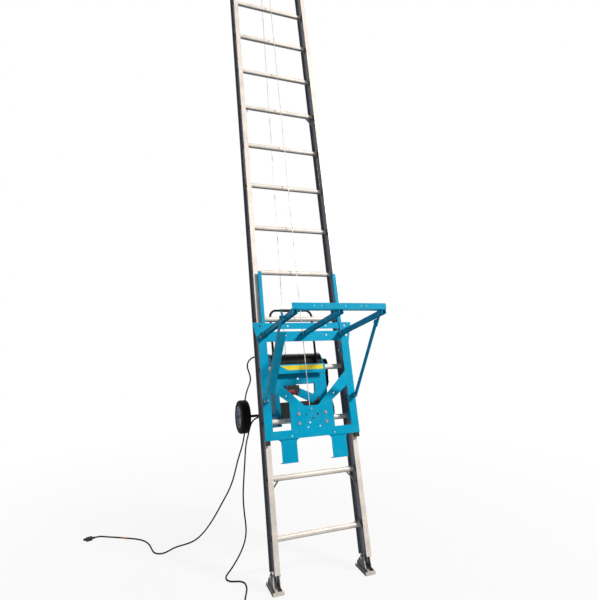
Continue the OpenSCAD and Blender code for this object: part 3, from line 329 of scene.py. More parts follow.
@recipe
def moulded_rubber(node, place, base, grain_mm=1.6, roughness=0.62, dusty=0.4, shine=0.3):
    """Rubber or soft vinyl: moulded against a blasted tool, so matt, and greyed by dust in patches.
    The tool's grain is drawn coarser than it is, to show."""
    dust = node(NOISE, Vector=place, Scale=per_metre(34), Detail=6)
    dust = node(RANGE, Value=dust, From_Min=0.5, From_Max=0.8, To_Max=dusty)
    body = node(*MIX, i0=dust, i6=base, i7=linear("#4A4744"))
    gloss = node(NOISE, Vector=place, Scale=per_metre(18), Detail=4)
    smooth, rough = roughness - 0.08, roughness + 0.14
    gloss = node(RANGE, Value=gloss, From_Min=0.3, From_Max=0.7, To_Min=smooth, To_Max=rough)
    grain = node(NOISE, Vector=place, Scale=per_metre(grain_mm), Detail=3)
    relief = node("ShaderNodeBump", Height=grain, Distance=0.12 * MM, Strength=0.5)
    return dict(Base_Color=body, Roughness=gloss, Normal=relief, IOR=1.52, Specular_IOR_Level=shine)


@recipe
def moulded_plastic(node, place, base, roughness=0.42):
    """Nylon, ABS or vinyl: moulded with a fine spark-eroded grain, so a broken satin shine. The grain
    is drawn coarser than it is, to show."""
    cloud = node(NOISE, Vector=place, Scale=per_metre(25), Detail=4)
    cloud = node(RANGE, Value=cloud, From_Min=0.3, From_Max=0.7)
    body = node(*MIX, i0=cloud, i6=shade(base, 0.85), i7=shade(base, 1.15))
    gloss = node(NOISE, Vector=place, Scale=per_metre(6), Detail=3)
    smooth, rough = roughness - 0.06, roughness + 0.1
    gloss = node(RANGE, Value=gloss, From_Min=0.3, From_Max=0.7, To_Min=smooth, To_Max=rough)
    grain = node(NOISE, Vector=place, Scale=per_metre(1.1), Detail=2)
    relief = node("ShaderNodeBump", Height=grain, Distance=0.06 * MM, Strength=0.5)
    return dict(Base_Color=body, Roughness=gloss, Normal=relief, IOR=1.53, Specular_IOR_Level=0.35)


@recipe
def cast_iron(node, place, base):
    """Enamelled cast iron: sand-cast, so a pebbled skin under a thin satin coat."""
    cloud = node(NOISE, Vector=place, Scale=per_metre(20), Detail=5)
    cloud = node(RANGE, Value=cloud, From_Min=0.3, From_Max=0.7)
    body = node(*MIX, i0=cloud, i6=shade(base, 0.8), i7=shade(base, 1.25))
    gloss = node(RANGE, Value=cloud, To_Min=0.42, To_Max=0.6)
    skin = node(NOISE, Vector=place, Scale=per_metre(3.5), Detail=4)
    relief = node("ShaderNodeBump", Height=skin, Distance=0.3 * MM, Strength=0.6)
    return dict(Base_Color=body, Roughness=gloss, Normal=relief, IOR=1.5, Specular_IOR_Level=0.3)


@recipe
def vinyl_film(node, place, base):
    """Vinyl film on steel: rolled smooth and glossy, slightly wavy, with rubbed and soiled patches."""
    rubbed = node(NOISE, Vector=place, Scale=per_metre(22), Detail=6)
    rubbed = node(RANGE, Value=rubbed, From_Min=0.5, From_Max=0.74, To_Max=0.35)
    body = node(*MIX, i0=rubbed, i6=base, i7=linear("#A89546"))
    gloss = node(NOISE, Vector=place, Scale=per_metre(14), Detail=4)
    gloss = node(RANGE, Value=gloss, From_Min=0.3, From_Max=0.7, To_Min=0.25, To_Max=0.42)
    waves = node(NOISE, Vector=place, Scale=per_metre(4), Detail=2)
    relief = node("ShaderNodeBump", Height=waves, Distance=0.04 * MM, Strength=0.3)
    return dict(Base_Color=body, Roughness=gloss, Normal=relief, IOR=1.46, Specular_IOR_Level=0.3)


MATERIALS = {}
RAILS = ("lower_left_rail", "lower_right_rail", "upper_left_rail", "upper_right_rail")


def make_materials(finish):
    """Every finish of the hoist, by the name of the record's slot or of the extra it covers."""
    aluminium, oxide_and_shade, rubber = finish.aluminium, finish.web_oxide_and_shade, finish.rubber
    front, back = (corner.y for corner in ladder_box(RAILS[0]))
    # Between these depths, inside the rails' flanges, goes painted shade.
    inside_rail = (front + MM, back - MM)
    # Past this distance across, the rungs' ends get painted shade.
    collar = ladder_box(RAILS[1])[0].x + 2 * MM
    lengthways = (1.0, 1.0, 0.02)
    crossways = (0.02, 1.0, 1.0)
    endways = (0.3, 0.02, 0.3)
    MATERIALS.update(
        # The rails' webs and the inner faces of their flanges get painted shade in the dark tone.
        rail=extruded_aluminium("mill_aluminium_rail", aluminium, oxide_and_shade, lengthways, inside_rail),
        # The rungs' ends past the collar and their undersides get painted shade in the dark tone.
        mill_aluminium=extruded_aluminium(
            "mill_aluminium_tube", aluminium, oxide_and_shade, crossways, ends=collar, under=0.9
        ),
        # The shoes' sideways faces get painted shade, in a darker copy of the dark tone.
        shoe=extruded_aluminium(
            "mill_aluminium_shoe", aluminium, shade(oxide_and_shade, 0.5), endways, sides=0.95
        ),
        dark_aluminium=extruded_aluminium("mill_aluminium_flat", linear("#77797E"), linear("#45474C")),
        blue_steel=coated_steel("blue_powder_coat", finish.blue, 0.4, 0.75, linear("#8E8F90")),
        black_steel=coated_steel("black_enamel", finish.black, 0.36, 0.5, linear("#5C5C5E")),
        motor_iron=cast_iron("enamelled_cast_iron", linear("#2A2C30")),
        sheave_iron=cast_iron("machined_cast_iron", linear("#4A4B4E")),
        zinc_steel=plated_steel("zinc_plated_steel", finish.zinc),
        wire_rope=drawn_wire("galvanised_wire_rope", linear("#E2DCD3")),
        black_plastic=moulded_plastic("black_nylon", linear("#17181A")),
        roller_nylon=moulded_plastic("grey_nylon", linear("#3A3B3D")),
        red_plastic=moulded_plastic("red_abs", linear("#C21B2C"), 0.28),
        black_rubber=moulded_rubber("vinyl_rubber", rubber),
        lead=moulded_rubber("vinyl_lead", shade(rubber, 0.6), dusty=0.1, shine=0.15),
        tyre_rubber=moulded_rubber("tyre_rubber", shade(rubber, 0.5), 2.4, 0.75, 0.05, 0.12),
        wheel_rim=coated_steel("grey_wheel_enamel", linear("#C3CCD6"), 0.35, 0.4, linear("#77726A")),
        strip=vinyl_film("yellow_vinyl_film", finish.strip),
        marker=moulded_plastic("orange_vinyl", linear("#F0A04A"), 0.4),
        tie=moulded_plastic("nylon_strap", linear("#1C1C1E"), 0.6),
    )


SLOT_OF = {part["node"]: part["material_slot"] for part in frame["record"]["subparts"]}

# Edge radii in millimetres
PIN_EDGE = 0.4
SMALL_EDGE = 0.5
TURNED_EDGE = 0.6
RAIL_EDGE = 0.7
PLATE_EDGE = 0.8
HANDSET_EDGE = 3.0


def finish_node(node, edge_mm, material=None):
    """Gives a node its finish and a small edge radius."""
    piece = NODES[node]
    piece.data.materials.clear()
    piece.data.materials.append(MATERIALS[material or SLOT_OF[node]])
    bevel = piece.modifiers.new("edge_radius", "BEVEL")
    bevel.width = edge_mm * MM
    bevel.segments = 2
    bevel.limit_method = "ANGLE"
    bevel.angle_limit = math.radians(50)
    bevel.harden_normals = False
    return piece


def finish_nodes(nodes, edge_mm, material=None):
    """Gives several nodes the same edge radius, and their finishes or one for all."""
    for node in nodes:
        finish_node(node, edge_mm, material)


# Shared mesh helpers


def add_object(name, data):
    """A new object of the scene, made of a mesh, a curve, a light or a camera."""
    made = bpy.data.objects.new(name, data)
    bpy.context.scene.collection.objects.link(made)
    return made


def add_mesh(name, mesh):
    """A new object of the scene made of a worked mesh, which is freed."""
    data = bpy.data.meshes.new(name)
    mesh.to_mesh(data)
    mesh.free()
    return add_object(name, data)


def mesh_piece(name, mesh, body, slot, material=None, smooth=True):
    """A mesh as a piece of the hoist that rides on a body, in its slot's finish or one of its own."""
    piece = add_mesh(name, mesh)
    piece.data.materials.append(MATERIALS[material or slot])
    for face in piece.data.polygons:
        face.use_smooth = smooth
    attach(piece, body)
    return piece


def carried_frames(points):
    """Each point of a line, with two normals there that don't twist along it."""
    frames = []
    normal = None
    for index, point in enumerate(points):
        ahead = points[min(index + 1, len(points) - 1)] - points[max(index - 1, 0)]
        ahead.normalize()
        if normal is None:
            normal = ahead.orthogonal()
        normal = (normal - ahead * normal.dot(ahead)).normalized()
        frames.append((point, normal, ahead.cross(normal)))
    return frames


def swept(points, outline, twist=0.0):
    """A closed tube: an outline of (angle, radius) pairs along points, turned by twist a metre."""
    mesh = bmesh.new()
    rings = []
    run = 0.0
    last = points[0]
    for point, side, up in carried_frames(points):
        run += (point - last).length
        last = point
        turn = twist * run
        rings.append(
            [
                mesh.verts.new(point + (side * math.cos(a + turn) + up * math.sin(a + turn)) * radius)
                for a, radius in outline
            ]
        )
    count = len(outline)
    for first, second in zip(rings, rings[1:]):
        for k in range(count):
            mesh.faces.new((first[k], first[(k + 1) % count], second[(k + 1) % count], second[k]))
    mesh.faces.new(list(reversed(rings[0])))
    mesh.faces.new(rings[-1])
    return mesh


STRANDS = 6
GROOVE_SHARE = 0.84


def strand_outline(diameter):
    """The outline of a rope of six strands, with a groove between each two."""
    radii = (diameter / 2, diameter / 2 * GROOVE_SHARE)
    steps = 2 * STRANDS
    return [(math.tau * k / steps, radii[k % 2]) for k in range(steps)]


def even_points(points, step):
    """Points along a polyline at about an even step."""
    spaced = [points[0]]
    for first, second in zip(points, points[1:]):
        count = max(1, round((second - first).length / step))
        spaced += [first.lerp(second, (k + 1) / count) for k in range(count)]
    return spaced


def curved(points, steps):
    """A cubic B-spline drawn by points, through both ends, with so many steps for each point."""
    ends = [points[0] * 2 - points[1], *points, points[-1] * 2 - points[-2]]
    line = []
    for a, b, c, d in zip(ends, ends[1:], ends[2:], ends[3:]):
        for k in range(steps):
            t = k / steps
            line.append(
                (
                    a * (1 - t) ** 3
                    + b * (3 * t**3 - 6 * t * t + 4)
                    + c * (3 * t + 3 * t * t - 3 * t**3 + 1)
                    + d * t**3
                )
                / 6
            )
    return line + [points[-1]]


def round_curve(name, points, diameter, body, material):
    """A round cord along points, as one open spline."""
    data = bpy.data.curves.new(name, "CURVE")
    data.dimensions = "3D"
    data.bevel_depth = diameter / 2
    data.bevel_resolution = 4
    data.use_fill_caps = True
    spline = data.splines.new("POLY")
    spline.points.add(len(points) - 1)
    for target, point in zip(spline.points, points):
        target.co = (*point, 1)
    spline.use_smooth = True
    piece = add_object(name, data)
    data.materials.append(MATERIALS[material])
    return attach(piece, body)


# Leads

# The routes repeat the points of the model, in metres.
LIE = 0.005
PLUG_LIE = 0.0145
STRAIGHT = 0.025
LEAD_STEPS = 8
MAINS_FREE = [
    (-0.284, 0.432, 1.185), (-0.309, 0.429, 1.165), (-0.319, 0.424, 1.135), (-0.309, 0.419, 1.104),
    (-0.297, 0.420, 1.073), (-0.292, 0.436, 1.038), (-0.297, 0.474, 0.998), (-0.300, 0.522, 0.945),
    (-0.301, 0.546, 0.875), (-0.302, 0.536, 0.800), (-0.309, 0.500, 0.725), (-0.328, 0.470, 0.660),
    (-0.350, 0.460, 0.605), (-0.369, 0.460, 0.545), (-0.385, 0.465, 0.465), (-0.410, 0.476, 0.385),
    (-0.446, 0.500, 0.310), (-0.487, 0.550, 0.200), (-0.535, 0.610, 0.095), (-0.585, 0.655, 0.028),
    (-0.640, 0.678, LIE), (-0.700, 0.668, LIE), (-0.740, 0.642, LIE), (-0.767, 0.619, LIE),
    (-0.797, 0.611, LIE), (-0.825, 0.623, LIE), (-0.842, 0.654, LIE), (-0.848, 0.705, LIE),
    (-0.857, 0.765, LIE), (-0.883, 0.822, LIE), (-0.928, 0.864, LIE), (-0.985, 0.895, LIE),
    (-1.050, 0.935, LIE), (-1.108, 0.962, LIE), (-1.148, 0.968, PLUG_LIE), (-1.180, 0.960, PLUG_LIE),
]
PENDANT_FREE = [
    (-0.279, 0.355, 0.832), (-0.296, 0.376, 0.811), (-0.301, 0.402, 0.780), (-0.303, 0.426, 0.740),
    (-0.310, 0.437, 0.695), (-0.322, 0.436, 0.648), (-0.328, 0.426, 0.565), (-0.338, 0.416, 0.460),
    (-0.346, 0.406, 0.345), (-0.335, 0.401, 0.240), (-0.324, 0.400, 0.165), (-0.330, 0.400, 0.105),
    (-0.351, 0.394, 0.052), (-0.385, 0.372, 0.014), (-0.420, 0.325, LIE), (-0.450, 0.280, LIE),
    (-0.475, 0.247, LIE), (-0.490, 0.220, LIE), (-0.490, 0.192, LIE), (-0.474, 0.171, LIE),
    (-0.449, 0.163, LIE), (-0.425, 0.156, LIE), (-0.407, 0.139, LIE), (-0.402, 0.112, LIE),
    (-0.408, 0.068, LIE), (-0.430, 0.016, LIE), (-0.450, -0.040, LIE), (-0.459, -0.095, LIE),
    (-0.460, -0.145, LIE), (-0.460, -0.180, LIE),
]
COIL_AT = (-0.460, -0.190)
COIL_STEP = 0.0098
COIL_LEAD = 0.076
COIL_RINGS = 24
TAIL_POINTS = 3
GLAND_NUT = 0.011
UPPER_GLAND_BEHIND = 0.110
LOWER_GLAND_BEHIND = 0.120

# The orange sleeve: its place on the ground, its size and the points of the lead that it covers.
SLEEVE_AT = Vector((-1.018, 0.915, LIE))
SLEEVE_RADIUS = 4.95 * MM
SLEEVE_SIDES = 16
SLEEVE_BEFORE = 4
SLEEVE_AFTER = 2

# The coil's strap: room beside the turns, half height, half width and where it goes round.
TIE_ROOM = 6 * MM
TIE_HEIGHT = 10.2 * MM
TIE_HALF_WIDTH = 9 * MM
TIE_TURN = math.radians(200)
TIE_STEPS = 28
# Thickness from the inner face, and the lowest height there.
TIE_FACES = ((0.0, 0.5 * MM), (0.9 * MM, 0.095 * MM))


def gland_exits():
    """The ends of the two gland sleeves on the left plate: the upper one and the lower one."""
    low, high = ladder_box("cord_glands")
    upper = on_ladder(low.x, UPPER_GLAND_BEHIND, high.z - GLAND_NUT)
    lower = on_ladder(low.x, LOWER_GLAND_BEHIND, low.z + GLAND_NUT)
    return upper, lower


def kept_above_ground(points, height):
    """Points lifted, where they dip, to the height of a cord that lies on the ground."""
    return [Vector((p.x, p.y, max(p.z, height))) for p in points]


def coil_points(lead):
    """The stored coil: in on the ground, up a layer while it turns, and out again."""
    loops = lead.coil_loops
    centre = Vector((COIL_AT[0] - lead.coil_radius, COIL_AT[1], 0))
    points = []
    for k in range(COIL_RINGS * loops + 1):
        turn = k / COIL_RINGS
        radius = lead.coil_radius - COIL_STEP * min(turn, loops - turn)
        # The change of layer takes half a turn, in the middle of the coil.
        share = min(1.0, max(0.0, 2 * (turn - loops / 2) + 0.5))
        height = LIE + COIL_STEP * share * share * (3 - 2 * share)
        angle = -math.tau * turn
        points.append(centre + Vector((radius * math.cos(angle), radius * math.sin(angle), height)))
    return points


class HOIST_OT_leads(bpy.types.Operator):
    """Lay the mains lead and the pendant lead, with their plug, sleeve and tie"""

    bl_idname = "hoist.leads"
    bl_label = "Leads"

    def execute(self, context):
        lead = context.scene.hoist_lead
        straight = Vector((-STRAIGHT, 0, 0))
        top_exit, low_exit = gland_exits()
        route = [top_exit, top_exit + straight] + [Vector(p) for p in MAINS_FREE]
        line = kept_above_ground(curved(route, LEAD_STEPS), LIE)
        mains = round_curve("mains_lead", line, lead.diameter, "ladder", "lead")
        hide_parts("mains_cord")
        plug = finish_node("mains_plug", PLATE_EDGE)
        sleeve = self.sleeve(line)
        route = [low_exit, low_exit + straight] + [Vector(p) for p in PENDANT_FREE]
        coil = coil_points(lead)
        reach = Vector((0, -COIL_LEAD / TAIL_POINTS, 0))
        tail = [coil[-1] + reach * (k + 1) for k in range(TAIL_POINTS)]
        line = kept_above_ground(curved(route, LEAD_STEPS), LIE) + coil + tail
        pendant = round_curve("pendant_lead", line, lead.diameter, "ladder", "lead")
        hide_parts("pendant_cord", "pendant_coil")
        tie = self.tie(lead)
        finish_node("cord_glands", SMALL_EDGE)
        finish_node("pendant", HANDSET_EDGE)
        return {"FINISHED"}

    def sleeve(self, line):
        """The short orange sleeve near the plug end of the mains lead."""
        near = min(range(len(line)), key=lambda k: (line[k] - SLEEVE_AT).length)
        stretch = line[near - SLEEVE_BEFORE : near + SLEEVE_AFTER]
        outline = [(math.tau * k / SLEEVE_SIDES, SLEEVE_RADIUS) for k in range(SLEEVE_SIDES)]
        return mesh_piece("marker_sleeve", swept(stretch, outline), "ladder", "black_rubber", "marker")

    def tie(self, lead):
        """A strap round all the turns of the coil, with rounded corners."""
        centre = Vector((COIL_AT[0] - lead.coil_radius, COIL_AT[1], LIE + COIL_STEP / 2))
        inner = lead.coil_radius - COIL_STEP * lead.coil_loops / 2 - TIE_ROOM
        outer = lead.coil_radius + TIE_ROOM
        middle, half = (inner + outer) / 2, (outer - inner) / 2
        turn = Matrix.Rotation(TIE_TURN, 4, "Z")
        mesh = bmesh.new()
        rows = []
        for k in range(TIE_STEPS):
            a = math.tau * k / TIE_STEPS
            x, z = (math.copysign(math.sqrt(abs(c)), c) for c in (math.cos(a), math.sin(a)))
            row = []
            for y in (-TIE_HALF_WIDTH, TIE_HALF_WIDTH):
                for thick, lowest in TIE_FACES:
                    wide = half * (1 + thick / max(half, TIE_HEIGHT))
                    place = centre + turn @ Vector((middle + x * wide, y, z * (TIE_HEIGHT + thick)))
                    place.z = max(place.z, lowest)
                    row.append(mesh.verts.new(place))
            rows.append(row)
        for first, second in zip(rows, rows[1:] + rows[:1]):
            for a, b in ((0, 1), (1, 3), (3, 2), (2, 0)):
                mesh.faces.new((first[a], first[b], second[b], second[a]))
        bmesh.ops.recalc_face_normals(mesh, faces=mesh.faces)
        return mesh_piece("coil_tie", mesh, "ladder", "black_rubber", "tie", smooth=False)


# Ropes

# Steps of the rope's lay, of its half turn on the sheave and of a turn on the drum.
LAY_STEPS = 8
SHEAVE_STEPS = 18
DRUM_STEPS = 48
# The drawn rope is a little thinner than the strand that it lies in.
DRAWN_SHARE = 0.97


class HOIST_OT_ropes(bpy.types.Operator):
    """Lay the wire rope from the carriage over the sheave to the drum"""

    bl_idname = "hoist.ropes"
    bl_label = "Ropes"

    def execute(self, context):
        rope = context.scene.hoist_rope
        step = rope.lay / LAY_STEPS
        travel = JOINTS["carriage_slide"]["range_m"]

        low, high = ladder_box("rope_front")
        x, y = (low.x + high.x) / 2, (low.y + high.y) / 2
        top = on_ladder(x, y, high.z)
        foot = on_ladder(x, y, low.z)
        front = self.rope_piece(rope, "front_rope", even_points([top, foot], step), "ladder")
        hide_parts("rope_front")
        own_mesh(front)
        # Below the rest place the carriage draws out more rope, which lies in the strand at rest.
        drawn = on_ladder(x, y, low.z - 2 * min(travel))
        self.rope_piece(rope, "drawn_rope", even_points([drawn, foot], step), "carriage", DRAWN_SHARE)

        sheave = joint_on_ladder("sheave_spin")
        radius = sheave.y - y
        drum = joint_on_ladder("drum_spin")
        low, high = ladder_box("rope_winding")
        drum_radius = (high.z - low.z - rope.diameter) / 2
        first_turn = high.x - rope.diameter / 2
        over = [on_ladder(x, y, sheave.z - rope.diameter)]
        for k in range(SHEAVE_STEPS + 1):
            a = math.pi * k / SHEAVE_STEPS
            over.append(on_ladder(x, sheave.y - radius * math.cos(a), sheave.z + radius * math.sin(a)))
        over.append(on_ladder(first_turn + rope.pitch, drum.y - drum_radius, drum.z))
        rear = self.rope_piece(rope, "rear_rope", even_points(over, step), "ladder")
        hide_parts("rope_rear")

        turns = round((high.x - low.x - rope.diameter) / rope.pitch)
        wound = []
        for k in range(turns * DRUM_STEPS + 1):
            turn = k / DRUM_STEPS
            y = drum.y - drum_radius * math.cos(math.tau * turn)
            z = drum.z + drum_radius * math.sin(math.tau * turn)
            wound.append(on_ladder(first_turn - rope.pitch * turn, y, z))
        winding = self.rope_piece(rope, "drum_rope", wound, "drum")
        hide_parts("rope_winding")
        return {"FINISHED"}

    def rope_piece(self, rope, name, points, body, share=1.0):
        """A length of the rope along points, at a share of its diameter."""
        mesh = swept(points, strand_outline(rope.diameter * share), math.tau / rope.lay)
        return mesh_piece(name, mesh, body, "wire_rope")


# Rigid groups


class HOIST_OT_ladder(bpy.types.Operator):
    """Finish the rails, rungs, feet and head of the ladder"""

    bl_idname = "hoist.ladder"
    bl_label = "Ladder"

    def execute(self, context):
        finish_nodes(RAILS, RAIL_EDGE, "rail")
        finish_nodes(("rungs", "rung_struts", "splice_plates", "ladder_bolts"), SMALL_EDGE)
        finish_nodes(("sheave_axle", "rope_sheave"), SMALL_EDGE)
        finish_nodes(("left_shoe_pad", "right_shoe_pad", "sheave_bracket"), PLATE_EDGE)
        finish_nodes(("left_shoe", "right_shoe"), PLATE_EDGE, "shoe")
        return {"FINISHED"}


class HOIST_OT_carriage(bpy.types.Operator):
    """Finish the carriage and its rollers"""

    bl_idname = "hoist.carriage"
    bl_label = "Carriage"

    def execute(self, context):
        finish_nodes(("carriage_plate", "cross_plates", "uprights", "landing_feet"), PLATE_EDGE)
        finish_nodes(("roller_brackets", "glide_pads", "hinge_lugs", "rope_anchor"), PLATE_EDGE)
        finish_nodes(("roller_pins", "carriage_bolts", "hinge_pins"), PIN_EDGE)
        finish_nodes(("roller_low_left", "roller_low_right"), TURNED_EDGE)
        finish_nodes(("roller_high_left", "roller_high_right"), TURNED_EDGE)
        return {"FINISHED"}


class HOIST_OT_platform(bpy.types.Operator):
    """Finish the platform arms, lip and braces"""

    bl_idname = "hoist.platform"
    bl_label = "Platform"

    def execute(self, context):
        finish_nodes(("left_arm", "middle_arm", "right_arm", "front_lip"), PLATE_EDGE)
        finish_nodes(("left_brace", "right_brace"), PLATE_EDGE)
        return {"FINISHED"}


# The yellow strip, in metres across the ladder, and its margins on the saddle bar.
STRIP_LEFT = -150 * MM
STRIP_RIGHT = 126 * MM
STRIP_SLANT = 46 * MM
STRIP_BELOW = 20 * MM
STRIP_ABOVE = 7 * MM
STRIP_CORNER = 4 * MM
STRIP_THICK = 0.4 * MM
CORNER_STEPS = 4


class HOIST_OT_power_unit(bpy.types.Operator):
    """Finish the power unit, its wheels and the strip on its saddle"""

    bl_idname = "hoist.power_unit"
    bl_label = "Power unit"

    def execute(self, context):
        finish_nodes(("saddle_bar", "front_panel", "side_plates", "drum_cover"), PLATE_EDGE)
        finish_nodes(("carry_handle", "chain_case", "drum", "gear_motor"), PLATE_EDGE)
        finish_nodes(("control_box", "rocker_switch"), PLATE_EDGE)
        finish_node("wheel_axle", PLATE_EDGE, "black_steel")
        finish_nodes(("left_tyre", "right_tyre", "left_rim", "right_rim"), TURNED_EDGE)
        self.strip()
        return {"FINISHED"}

    def strip(self):
        """A plain yellow strip with one slanted end, on the front leg of the saddle bar."""
        low, high = ladder_box("saddle_bar")
        bottom, top = low.z + STRIP_BELOW, high.z - STRIP_ABOVE
        outline = [(STRIP_LEFT, top), (STRIP_LEFT + STRIP_SLANT, bottom)]
        x = STRIP_RIGHT - STRIP_CORNER
        for z, start in ((bottom + STRIP_CORNER, -math.pi / 2), (top - STRIP_CORNER, 0.0)):
            for k in range(CORNER_STEPS + 1):
                a = start + math.pi / 2 * k / CORNER_STEPS
                outline.append((x + STRIP_CORNER * math.cos(a), z + STRIP_CORNER * math.sin(a)))
        mesh = bmesh.new()
        front = low.y - STRIP_THICK
        face = mesh.faces.new([mesh.verts.new(on_ladder(px, front, pz)) for px, pz in outline])
        made = bmesh.ops.extrude_face_region(mesh, geom=[face])["geom"]
        behind = [part for part in made if isinstance(part, bmesh.types.BMVert)]
        bmesh.ops.translate(mesh, vec=on_ladder(0, STRIP_THICK, 0), verts=behind)
        bmesh.ops.recalc_face_normals(mesh, faces=mesh.faces)
        mesh_piece("saddle_strip", mesh, "ladder", "blue_steel", "strip", smooth=False)


# Fittings


def solids_on_ladder(node):
    """Lowest and highest corner of each solid of a node, across, behind and along the ladder."""
    mesh = bmesh.new()
    mesh.from_mesh(NODES[node].data)
    bmesh.ops.remove_doubles(mesh, verts=mesh.verts, dist=0.01 * MM)
    boxes = []
    seen = set()
    for first in mesh.verts:
        if first in seen:
            continue
        seen.add(first)
        solid = [first]
        for vert in solid:
            for edge in vert.link_edges:
                other = edge.other_vert(vert)
                if other not in seen:
                    seen.add(other)
                    solid.append(other)
        boxes.append(box_on_ladder(solid))
    mesh.free()
    return boxes


def add_turned(mesh, profile, place, axis, sides=16, closed=False):
    """A turned form about an axis: pairs of a distance along it and a radius, from a place."""
    axis = Vector(axis).normalized()
    side = axis.orthogonal().normalized()
    up = axis.cross(side)
    angles = [math.tau * k / sides for k in range(sides)]
    spokes = [side * math.cos(a) + up * math.sin(a) for a in angles]
    rings = []
    for along, radius in profile:
        centre = place + axis * along
        points = [centre + spoke * radius for spoke in spokes] if radius else [centre]
        rings.append([mesh.verts.new(point) for point in points])
    pairs = list(zip(rings, rings[1:]))
    if closed:
        pairs.append((rings[-1], rings[0]))
    for first, second in pairs:
        for k in range(sides):
            corners = (
                first[k % len(first)],
                first[(k + 1) % sides % len(first)],
                second[(k + 1) % sides % len(second)],
                second[k % len(second)],
            )
            mesh.faces.new(list(dict.fromkeys(corners)))


def add_bead(mesh, start, end, width):
    """A weld bead along a straight line on the ladder: a low ridge with a ripple every 4 mm."""
    start, end = on_ladder(*start), on_ladder(*end)
    length = (end - start).length
    steps = round(length / MM)
    ripple = 4 * MM
    profile = [(0, 0)]
    for k in range(steps + 1):
        run = length * k / steps
        swell = 0.82 + 0.18 * abs(math.cos(math.pi * run / ripple))
        taper = min(1.0, 0.5 + min(run, length - run) / ripple)
        profile.append((run, width / 2 * swell * taper))
    add_turned(mesh, profile + [(length, 0)], start, end - start, sides=10)


def add_screw(mesh, place, axis, radius):
    """A button-head screw with a socket, standing on a face."""
    shape = ((0, 1), (0.3, 1), (0.52, 0.86), (0.66, 0.6), (0.68, 0.42), (0.3, 0.38), (0.3, 0))
    profile = [(0, 0)] + [(along * radius, share * radius) for along, share in shape]
    add_turned(mesh, profile, on_ladder(*place), TO_WORLD @ Vector(axis))


# Sections of turned rings in millimetres: how far along the axis, and the radius.
WASHER = ((0, 6.2), (0, 9.4), (1.3, 9.4), (1.6, 9), (1.6, 6.2))
BUTTON_RIM = ((0, 11.4), (0, 14), (2, 14), (3, 13), (3, 11.4))
RING_SIDES = 28
GRIP_SIDES = 20
GRIP_STEPS = 72


def add_ring(mesh, section, place, axis):
    """A ring with a section given in millimetres, round an axis."""
    profile = [(along * MM, radius * MM) for along, radius in section]
    add_turned(mesh, profile, place, axis, RING_SIDES, closed=True)


